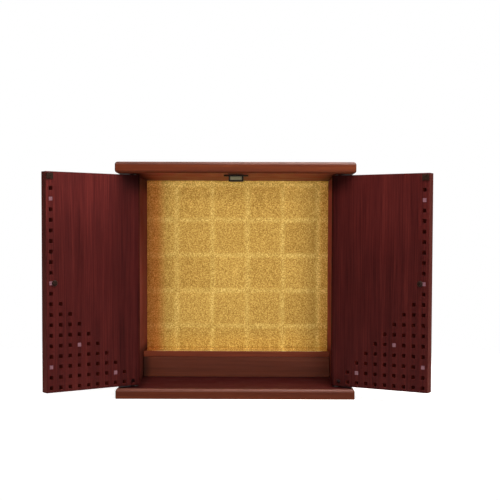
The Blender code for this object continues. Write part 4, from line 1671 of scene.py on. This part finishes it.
@dataclass
class GoldWork:
    """Gold leaf on the back panel and on the step."""

    pitch: float = 0.0496
    overlap: float = 0.0045
    layers: float = 0.0002
    line_x: float = -0.0852
    line_z: float = 0.0783
    seed: int = 7
    step_inset: float = 0.0003
    step_row: float = -0.021
    bedding: float = 0.00001

    def sheet(self, name: str, size: Point, start: Span, seed: int, finish: Finish) -> Mesh:
        """Lays leaves over a sheet.

        Args:
            name: The mesh's name.
            size: The sheet's width and height, and the thickness of sheet and leaves together.
            start: Where the first column and the first row of leaves start, from its corner.
            seed: Sets the leaves' wander.
            finish: The leaf's finish.

        Returns:
            The mesh, lying in X and Y from its corner.
        """
        (width, height, thickness), (column, row) = size, start
        settings = {"Width": width, "Height": height, "Sheet Thickness": thickness - self.layers,
                    "Pitch": self.pitch, "Overlap": self.overlap,
                    "Leaf Thickness": self.layers / 4, "First Column": column, "First Row": row,
                    "Columns": int((width - column) / self.pitch) + 1,
                    "Rows": int((height - row) / self.pitch) + 1, "Seed": seed,
                    "Finish": finish.material()}
        return grown(name, leaf_tree(), settings)

    def build(self) -> None:
        """Builds and delivers both sheets."""
        low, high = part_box("gold_panel")
        size = high - low
        column = (self.line_x - low.x) % self.pitch - self.pitch
        row = (self.line_z - low.z) % self.pitch - self.pitch
        panel = self.sheet("gold_wall", (size.x, size.z, size.y), (column, row), self.seed,
                           Finish.GOLD)
        upright = Matrix(((1, 0, 0, low.x), (0, 0, -1, high.y), (0, 1, 0, low.z), (0, 0, 0, 1)))
        deliver("gold_wall", moved(panel, upright), Body.CABINET, Finish.GOLD, ["gold_panel"])

        low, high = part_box("step_top")
        paper, inset = Carcass.paper, self.step_inset
        size = (high.x - low.x - 2 * inset, high.y - low.y - inset, paper - 2 * self.bedding)
        step = self.sheet("gold_step", size, (column, self.step_row), self.seed + 1,
                          Finish.STEP_GOLD)
        corner = (low.x + inset, low.y + inset, high.z - paper + self.bedding)
        step = moved(step, Matrix.Translation(corner))
        deliver("gold_step", step, Body.CABINET, Finish.STEP_GOLD, ["step_top"])


@dataclass
class Door:
    """One door with its lattice, pearl plugs, knob, screw and strike plate.

    It is built about its pivot axis, closed, and then swung open to where it rests. The strike's
    dimple is given by the radius and height of its mouth and of its floor.
    """

    word: str
    side: int
    opening: float
    body: Body
    shift: float
    reach: float = 0.127
    thickness: float = 0.012
    pivot: Span = (0.1275, -0.0655)
    pin_bore_depth: float = 0.0103
    edge_easing: float = 0.0006
    hole_side: float = 0.00475
    hole_taper: float = 0.0003
    mouth_chamfer: float = 0.0001
    pitch: float = 0.01263
    edge_margin: float = 0.0064
    foot_margin: float = 0.0057
    rows: int = 20
    single_rows: int = 10
    pearl_cells: tuple[tuple[int, int], ...] = ((2, 1), (10, 1), (16, 4), (18, 1), (19, 8))
    plug_side: float = 0.0047
    plug_sink: float = 0.0001
    plug_easing: float = 0.0003
    plug_turn: float = 0.012
    knob_from_edge: float = 0.011
    knob_row: int = 10
    knob_bore_radius: float = 0.0016
    knob_screw: Screw = Screw(0.0036, 0.0018, 0.0013, 0.0193)
    gap: float = 0.0003
    strike_size: Triple = (0.009, 0.0008, 0.0074)
    strike_margins: Span = (0.0004, 0.0016)
    strike_easing: float = 0.0003
    dimple_mouth: Span = (0.0012, 0.0012)
    dimple_floor: Span = (0.0008, 0.0003)

    @property
    def low_z(self) -> float:
        """Height of the door's foot."""
        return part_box("door_" + self.word)[0].z

    @property
    def high_z(self) -> float:
        """Height of the door's head."""
        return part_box("door_" + self.word)[1].z

    @property
    def place(self) -> Matrix:
        """Where the door stands.

        Returns:
            The matrix from the door's own frame to the cabinet's.
        """
        x, y = self.pivot
        swing = Matrix.Rotation(-self.side * self.opening, 4, "Z")
        return Matrix.Translation((-self.side * x, y, 0.0)) @ swing

    def cell(self, row: int, column: int) -> Vector:
        """Centre of a hole.

        Args:
            row: Counted down from the top.
            column: Counted in from the free edge.

        Returns:
            Its place in the door's own frame.
        """
        x = self.side * (self.reach - self.edge_margin - (column - 1) * self.pitch)
        return Vector((x, 0.0, self.low_z + self.foot_margin + (self.rows - row) * self.pitch))

    def fit(self, name: str, mesh: Mesh, finish: Finish, nodes: Iterable[str]) -> None:
        """Swings a mesh to its place and delivers it."""
        deliver(f"{name}_{self.word}", moved(settled(mesh), self.place), self.body, finish, nodes)

    def board(self) -> None:
        """The door board: half-round hinge edge, eased rims, bores and the lattice of holes."""
        name = "door_board_" + self.word
        half, low_z, high_z = self.thickness / 2, self.low_z, self.high_z
        hinge = arc((0.0, 0.0), (half, half), pi / 2, 3 * pi / 2, 28)
        outline = [(self.side * x, y) for x, y in hinge + [(self.reach, -half), (self.reach, half)]]
        blank = eased(prism_mesh(name, outline, low_z, high_z), self.edge_easing)
        foot = Matrix.Translation((0, 0, low_z))
        head = Matrix.Translation((0, 0, high_z)) @ TURNED_OVER
        bores = [rod_mesh("pin_bore", PIN_BORE_RADIUS, -OVERRUN, self.pin_bore_depth, place)
                 for place in (foot, head)]
        knob = rod_mesh("knob_bore", self.knob_bore_radius, -half - OVERRUN, half + OVERRUN,
                        self.knob_place(0.0))
        blank = carved(blank, *bores, knob)
        settings = {"Hole Side": self.hole_side, "Taper": self.hole_taper,
                    "Mouth Chamfer": self.mouth_chamfer, "Pitch": self.pitch, "Rows": self.rows,
                    "Columns": self.rows - self.single_rows, "Single Rows": self.single_rows,
                    "First Reach": self.reach - self.edge_margin,
                    "Foot Height": low_z + self.foot_margin, "Side": float(self.side),
                    "Board Thickness": self.thickness, "Finish": Finish.DOOR.material()}
        mesh = settled(grown(name, lattice_tree(), settings, blank))
        mark_grain(mesh, Along.Z, self.shift)
        # How far each point lies from the hinge, read by the painted shade of the door veneer
        store = mesh.attributes.new(FROM_HINGE, "FLOAT", "POINT")
        for vertex, item in zip(mesh.vertices, store.data):
            item.value = abs(vertex.co.x) / self.reach
        mesh.materials.clear()
        dress(mesh, Finish.DOOR, Finish.CUT, Finish.LIPPING)
        for face in mesh.polygons:
            face.material_index = self.face_finish(face, low_z, high_z)
        deliver(name, moved(mesh, self.place), self.body, Finish.DOOR, ["door_" + self.word])

    def face_finish(self, face: bpy.types.MeshPolygon, low_z: float, high_z: float) -> int:
        """Which of the door board's finishes a face has.

        Args:
            face: A face of the closed door.
            low_z: Height of the door's foot.
            high_z: Height of the door's head.

        Returns:
            0 for the veneered faces, 1 for the walls of the holes, 2 for the free edge; 1 and 2 are
            painted lighter.
        """
        reached = self.side * face.center.x
        if abs(face.normal.y) > 0.5:
            return 0
        if reached > self.reach - 2 * self.edge_easing:
            return 2
        inside = low_z + OVERRUN < face.center.z < high_z - OVERRUN
        return int(inside and reached > self.thickness)

    def knob_place(self, y: float) -> Matrix:
        """Where the knob's axis crosses a depth of the closed door.

        Args:
            y: The depth, in the door's own frame.

        Returns:
            The place, with +Z turned to the outer face.
        """
        x = self.side * (self.reach - self.knob_from_edge)
        centre = Matrix.Translation((x, y, self.cell(self.knob_row, 1).z))
        return centre @ Matrix.Rotation(pi / 2, 4, "X")

    def plugs(self) -> None:
        """Pearl plugs in five of the holes, their edges gently rounded."""
        half, length = self.plug_side / 2, self.thickness / 2 - self.plug_sink
        blank = board_mesh("pearl_plug", (-half, -length, -half), (half, length, half))
        settings = {"Turn Axis": (0.0, 1.0, 0.0), "Most Turn": self.plug_turn,
                    "Seed": 11 + self.side, "Finish": Finish.PEARL.material()}
        places = [self.cell(*cell) for cell in self.pearl_cells]
        plugs = set_out("pearl_plugs", eased(blank, self.plug_easing), places, settings)
        nodes = [f"inlay_{self.word}_{number}" for number in range(1, len(places) + 1)]
        self.fit("pearl_plugs", plugs, Finish.PEARL, nodes)

    def knob(self) -> None:
        """Turned knob on the outer face and the screw that holds it from inside."""
        out = self.thickness / 2 + self.gap
        knob = moved(Knob().mesh("pull_knob"), self.knob_place(-out))
        self.fit("pull_knob", knob, Finish.BLACK_STEEL, ["knob_" + self.word])
        bolt = moved(self.knob_screw.mesh("knob_bolt"), self.knob_place(out) @ TURNED_OVER)
        self.fit("knob_bolt", bolt, Finish.BROWNED_STEEL, ["knob_screw_" + self.word])

    def strike(self) -> None:
        """Steel plate for the catch, with a dimple where it is pinned."""
        width, depth, height = self.strike_size
        edge_margin, head_margin = self.strike_margins
        far = self.reach - edge_margin
        xs = sorted((self.side * far, self.side * (far - width)))
        low_y, high_z = self.thickness / 2 + self.gap, self.high_z - head_margin
        plate = board_mesh("strike", (xs[0], low_y, high_z - height),
                           (xs[1], low_y + depth, high_z))
        mouth, floor = self.dimple_mouth, self.dimple_floor
        profile = [(0.0, mouth[1]), mouth, floor, (0.0, floor[1])]
        centre = Matrix.Translation(((xs[0] + xs[1]) / 2, low_y, high_z - height / 2))
        dimple = moved(turned_mesh("dimple", profile, 24),
                       centre @ Matrix.Rotation(-pi / 2, 4, "X"))
        self.fit("strike", carved(eased(plate, self.strike_easing), dimple),
                 Finish.BROWNED_STEEL, ["strike_plate_" + self.word])

    def build(self) -> None:
        """Builds and delivers everything that swings with the door."""
        self.board()
        self.plugs()
        self.knob()
        self.strike()


@dataclass
class Pivots:
    """Steel pins on which the doors turn, and the washers under the doors."""

    pin_chamfer: float = 0.0003
    washer_easing_share: float = 0.3

    def turn(self, name: str, bore: float, ease: float, steps: int) -> None:
        """Turns and delivers one pin or washer.

        Args:
            name: The piece's name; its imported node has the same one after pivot_.
            bore: Radius of the hole through it, 0 for a pin.
            ease: What is taken off its rims.
            steps: Facets round its axis.
        """
        node = "pivot_" + name
        low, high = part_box(node)
        centre, radius = (low + high) / 2, (high.y - low.y) / 2
        profile = [(bore, high.z), (radius - ease, high.z), (radius, high.z - ease),
                   (radius, low.z + ease), (radius - ease, low.z), (bore, low.z)]
        mesh = moved(turned_mesh(node, profile, steps),
                     Matrix.Translation((centre.x, centre.y, 0.0)))
        deliver(name, settled(mesh), Body.CABINET, Finish.PIN_STEEL, [node])

    def build(self) -> None:
        """Builds and delivers pins and washers."""
        for word in ("left", "right"):
            for end in ("top", "bottom"):
                self.turn(f"pin_{word}_{end}", 0.0, self.pin_chamfer, BORE_STEPS)
            low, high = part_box(f"pivot_washer_{word}")
            ease = (high.z - low.z) * self.washer_easing_share
            self.turn(f"washer_{word}", PIN_BORE_RADIUS, ease, 40)


@dataclass
class Catch:
    """Magnetic catch under the ceiling: case with two ears, pole block and two screws."""

    body_width: float = 0.0185
    ear_thickness: float = 0.0014
    wall: float = 0.0014
    pocket: float = 0.008
    case_easing: float = 0.0005
    screw_head: float = 0.0018
    screw_shank: Span = (0.0009, 0.0077)
    screw_turn: float = 0.4
    screw_turn_spread: float = 0.3
    seat_bore: float = 0.0010
    seat_clearance: float = 0.0002
    pole_easing: float = 0.00035
    groove_count: int = 5
    groove_half: float = 0.00022
    groove_depth: float = 0.0004

    def case(self, low: Vector, high: Vector, ears: Sequence[Matrix]) -> None:
        """Builds and delivers the case.

        Args:
            low: Its lowest corner.
            high: Its highest corner.
            ears: Where the screws enter its two ears.
        """
        half, thick = self.body_width / 2, self.ear_thickness
        wings = board_mesh("ears", (low.x, low.y, high.z - thick), high)
        block = board_mesh("block", (-half, low.y, low.z), (half, high.y, high.z))
        case = eased(combined("UNION", wings, block), self.case_easing)
        inner = half - self.wall
        hollow = board_mesh("hollow", (-inner, low.y - OVERRUN, low.z + self.wall),
                            (inner, low.y + self.pocket, high.z - self.wall))
        mouth = self.screw_head + self.seat_clearance
        profile = [(0.0, OVERRUN), (self.seat_bore, OVERRUN), (self.seat_bore, 0.0),
                   (mouth, -thick), (mouth, -thick - OVERRUN), (0.0, -thick - OVERRUN)]
        seats = [moved(turned_mesh("seat", profile, BORE_STEPS), ear) for ear in ears]
        deliver("catch_case", settled(carved(case, hollow, *seats)), Body.CABINET,
                Finish.PLASTIC, ["catch_housing"])

    def poles(self) -> None:
        """Builds and delivers the grooved pole block."""
        low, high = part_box("catch_magnet")
        run = (high.x - low.x) / (self.groove_count + 1)
        middles = [low.x + run * number for number in range(1, self.groove_count + 1)]
        grooves = [board_mesh("groove", (x - self.groove_half, low.y - OVERRUN, low.z - OVERRUN),
                              (x + self.groove_half, low.y + self.groove_depth, high.z + OVERRUN))
                   for x in middles]
        pole = carved(eased(board_mesh("poles", low, high), self.pole_easing), *grooves)
        deliver("catch_poles", settled(pole), Body.CABINET, Finish.NICKEL, ["catch_magnet"])

    def build(self) -> None:
        """Builds and delivers the catch."""
        low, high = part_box("catch_housing")
        middle_y, ear_x = (low.y + high.y) / 2, (high.x + self.body_width / 2) / 2
        ears = [Matrix.Translation((side * ear_x, middle_y, high.z)) for side in (-1, 1)]
        self.case(low, high, ears)
        self.poles()
        screw = Screw(self.screw_head, self.ear_thickness, *self.screw_shank, countersunk=True)
        for side, word, ear in zip((-1, 1), ("left", "right"), ears):
            turn = Matrix.Rotation(self.screw_turn + side * self.screw_turn_spread, 4, "Z")
            mesh = moved(screw.mesh("ear_screw"), ear @ TURNED_OVER @ turn)
            deliver(f"ear_screw_{word}", settled(mesh), Body.CABINET, Finish.BLACK_STEEL,
                    [f"catch_screw_{word}"])


@dataclass(frozen=True)
class Lamp:
    """A rectangular soft light."""

    name: str
    place: Triple
    aim: Triple
    size: Span
    power: float
    colour: Colour = WHITE

    def hang(self) -> None:
        """Hangs the light, out of the camera's sight."""
        light = bpy.data.lights.new(self.name, "AREA")
        light.shape = "RECTANGLE"
        light.size, light.size_y = self.size
        light.energy = self.power
        light.color = self.colour
        item = add_object(self.name, light)
        item.location = self.place
        ahead = Vector(self.aim) - Vector(self.place)
        item.rotation_euler = ahead.to_track_quat("-Z", "Y").to_euler()
        item.visible_camera = False


@dataclass
class Studio:
    """Pale floor, soft light and the camera."""

    floor_reach: float = 1.7
    floor_thickness: float = 0.003
    floor_drop: float = 0.0002
    surround: float = 0.03
    camera_at: Triple = (0.02291, -1.40544, 0.20246)
    pitch: float = radians(2.57)
    yaw: float = radians(0.197)
    roll: float = radians(0.186)
    lens: float = 76.08
    sensor: float = 36.0
    rise: float = 0.07
    clip: Span = (0.05, 60.0)
    lamps: tuple[Lamp, ...] = (
        Lamp("key", (0.15, -0.24, 0.72), (-0.05, -0.10, 0.15), (0.30, 0.25), 5.6,
             (1.0, 0.98, 0.95)),
        Lamp("fill", (0.15, -0.40, 0.62), (0.0, -0.05, 0.17), (0.30, 0.20), 2.2,
             (1.0, 0.98, 0.95)),
        Lamp("front", (0.03, -1.30, 0.28), (0.0, 0.0, 0.15), (1.0, 0.6), 5.8,
             (1.0, 0.98, 0.96)),
        Lamp("side", (1.0, -0.70, 0.75), (0.0, -0.10, 0.20), (0.5, 0.5), 3.4),
        Lamp("overhead", (0.0, -0.12, 1.00), (0.0, -0.09, 0.20), (0.60, 0.30), 2.5),
        Lamp("rear", (-0.4, 1.3, 1.2), (0.0, 0.05, 0.12), (1.2, 0.9), 7.0),
    )

    def floor(self) -> None:
        """A round sheet of pale paper."""
        rim, under = self.floor_reach, -self.floor_thickness
        profile = [(0.0, 0.0), (rim * 0.5, 0.0), (rim, 0.0), (rim, under), (0.0, under)]
        drop = Matrix.Translation((0.0, 0.0, -self.floor_drop))
        item = link(moved(turned_mesh("floor", profile, 96), drop))
        item.data.materials.append(Paper().material())

    def surroundings(self) -> None:
        """A white surround that gives little light of its own."""
        world = bpy.data.worlds.new("studio")
        bpy.context.scene.world = world
        world.use_nodes = True
        sheet = Sheet(world.node_tree)
        shader = world.node_tree.nodes["Background"].inputs
        shader["Color"].default_value = opaque(WHITE)
        seen = sheet.add("ShaderNodeLightPath").outputs["Is Camera Ray"]
        sheet.feed(shader["Strength"], sheet.remap(seen, 0.0, 1.0, self.surround, 1.0))

    def camera(self) -> None:
        """The camera, placed and turned as the cabinet was photographed."""
        right = Vector((cos(self.yaw), sin(self.yaw), 0.0))
        ahead = Vector((-sin(self.yaw) * cos(self.pitch), cos(self.yaw) * cos(self.pitch),
                        -sin(self.pitch)))
        up = right.cross(ahead)
        tilted_right = cos(self.roll) * right + sin(self.roll) * up
        tilted_up = -sin(self.roll) * right + cos(self.roll) * up
        data = bpy.data.cameras.new("camera")
        data.lens = self.lens
        data.sensor_width = self.sensor
        data.shift_y = self.rise
        data.clip_start, data.clip_end = self.clip
        item = add_object("camera", data)
        turn = Matrix((tilted_right, tilted_up, -ahead)).transposed().to_4x4()
        item.matrix_world = Matrix.Translation(self.camera_at) @ turn
        bpy.context.scene.camera = item

    def build(self) -> None:
        """Sets up the studio."""
        self.surroundings()
        self.floor()
        for lamp in self.lamps:
            lamp.hang()
        self.camera()
        bpy.context.scene.view_settings.view_transform = "Standard"


def main() -> None:
    """Builds the cabinet's pieces and the studio round them."""
    logging.basicConfig(level=logging.INFO, format="%(name)s: %(message)s")
    Slabs().build()
    Carcass().build()
    GoldWork().build()
    Door("left", 1, radians(142.3), Body.LEFT, 7.91).build()
    Door("right", -1, radians(149.0), Body.RIGHT, 9.53).build()
    Pivots().build()
    Catch().build()
    Studio().build()


if __name__ == "__main__":
    main()
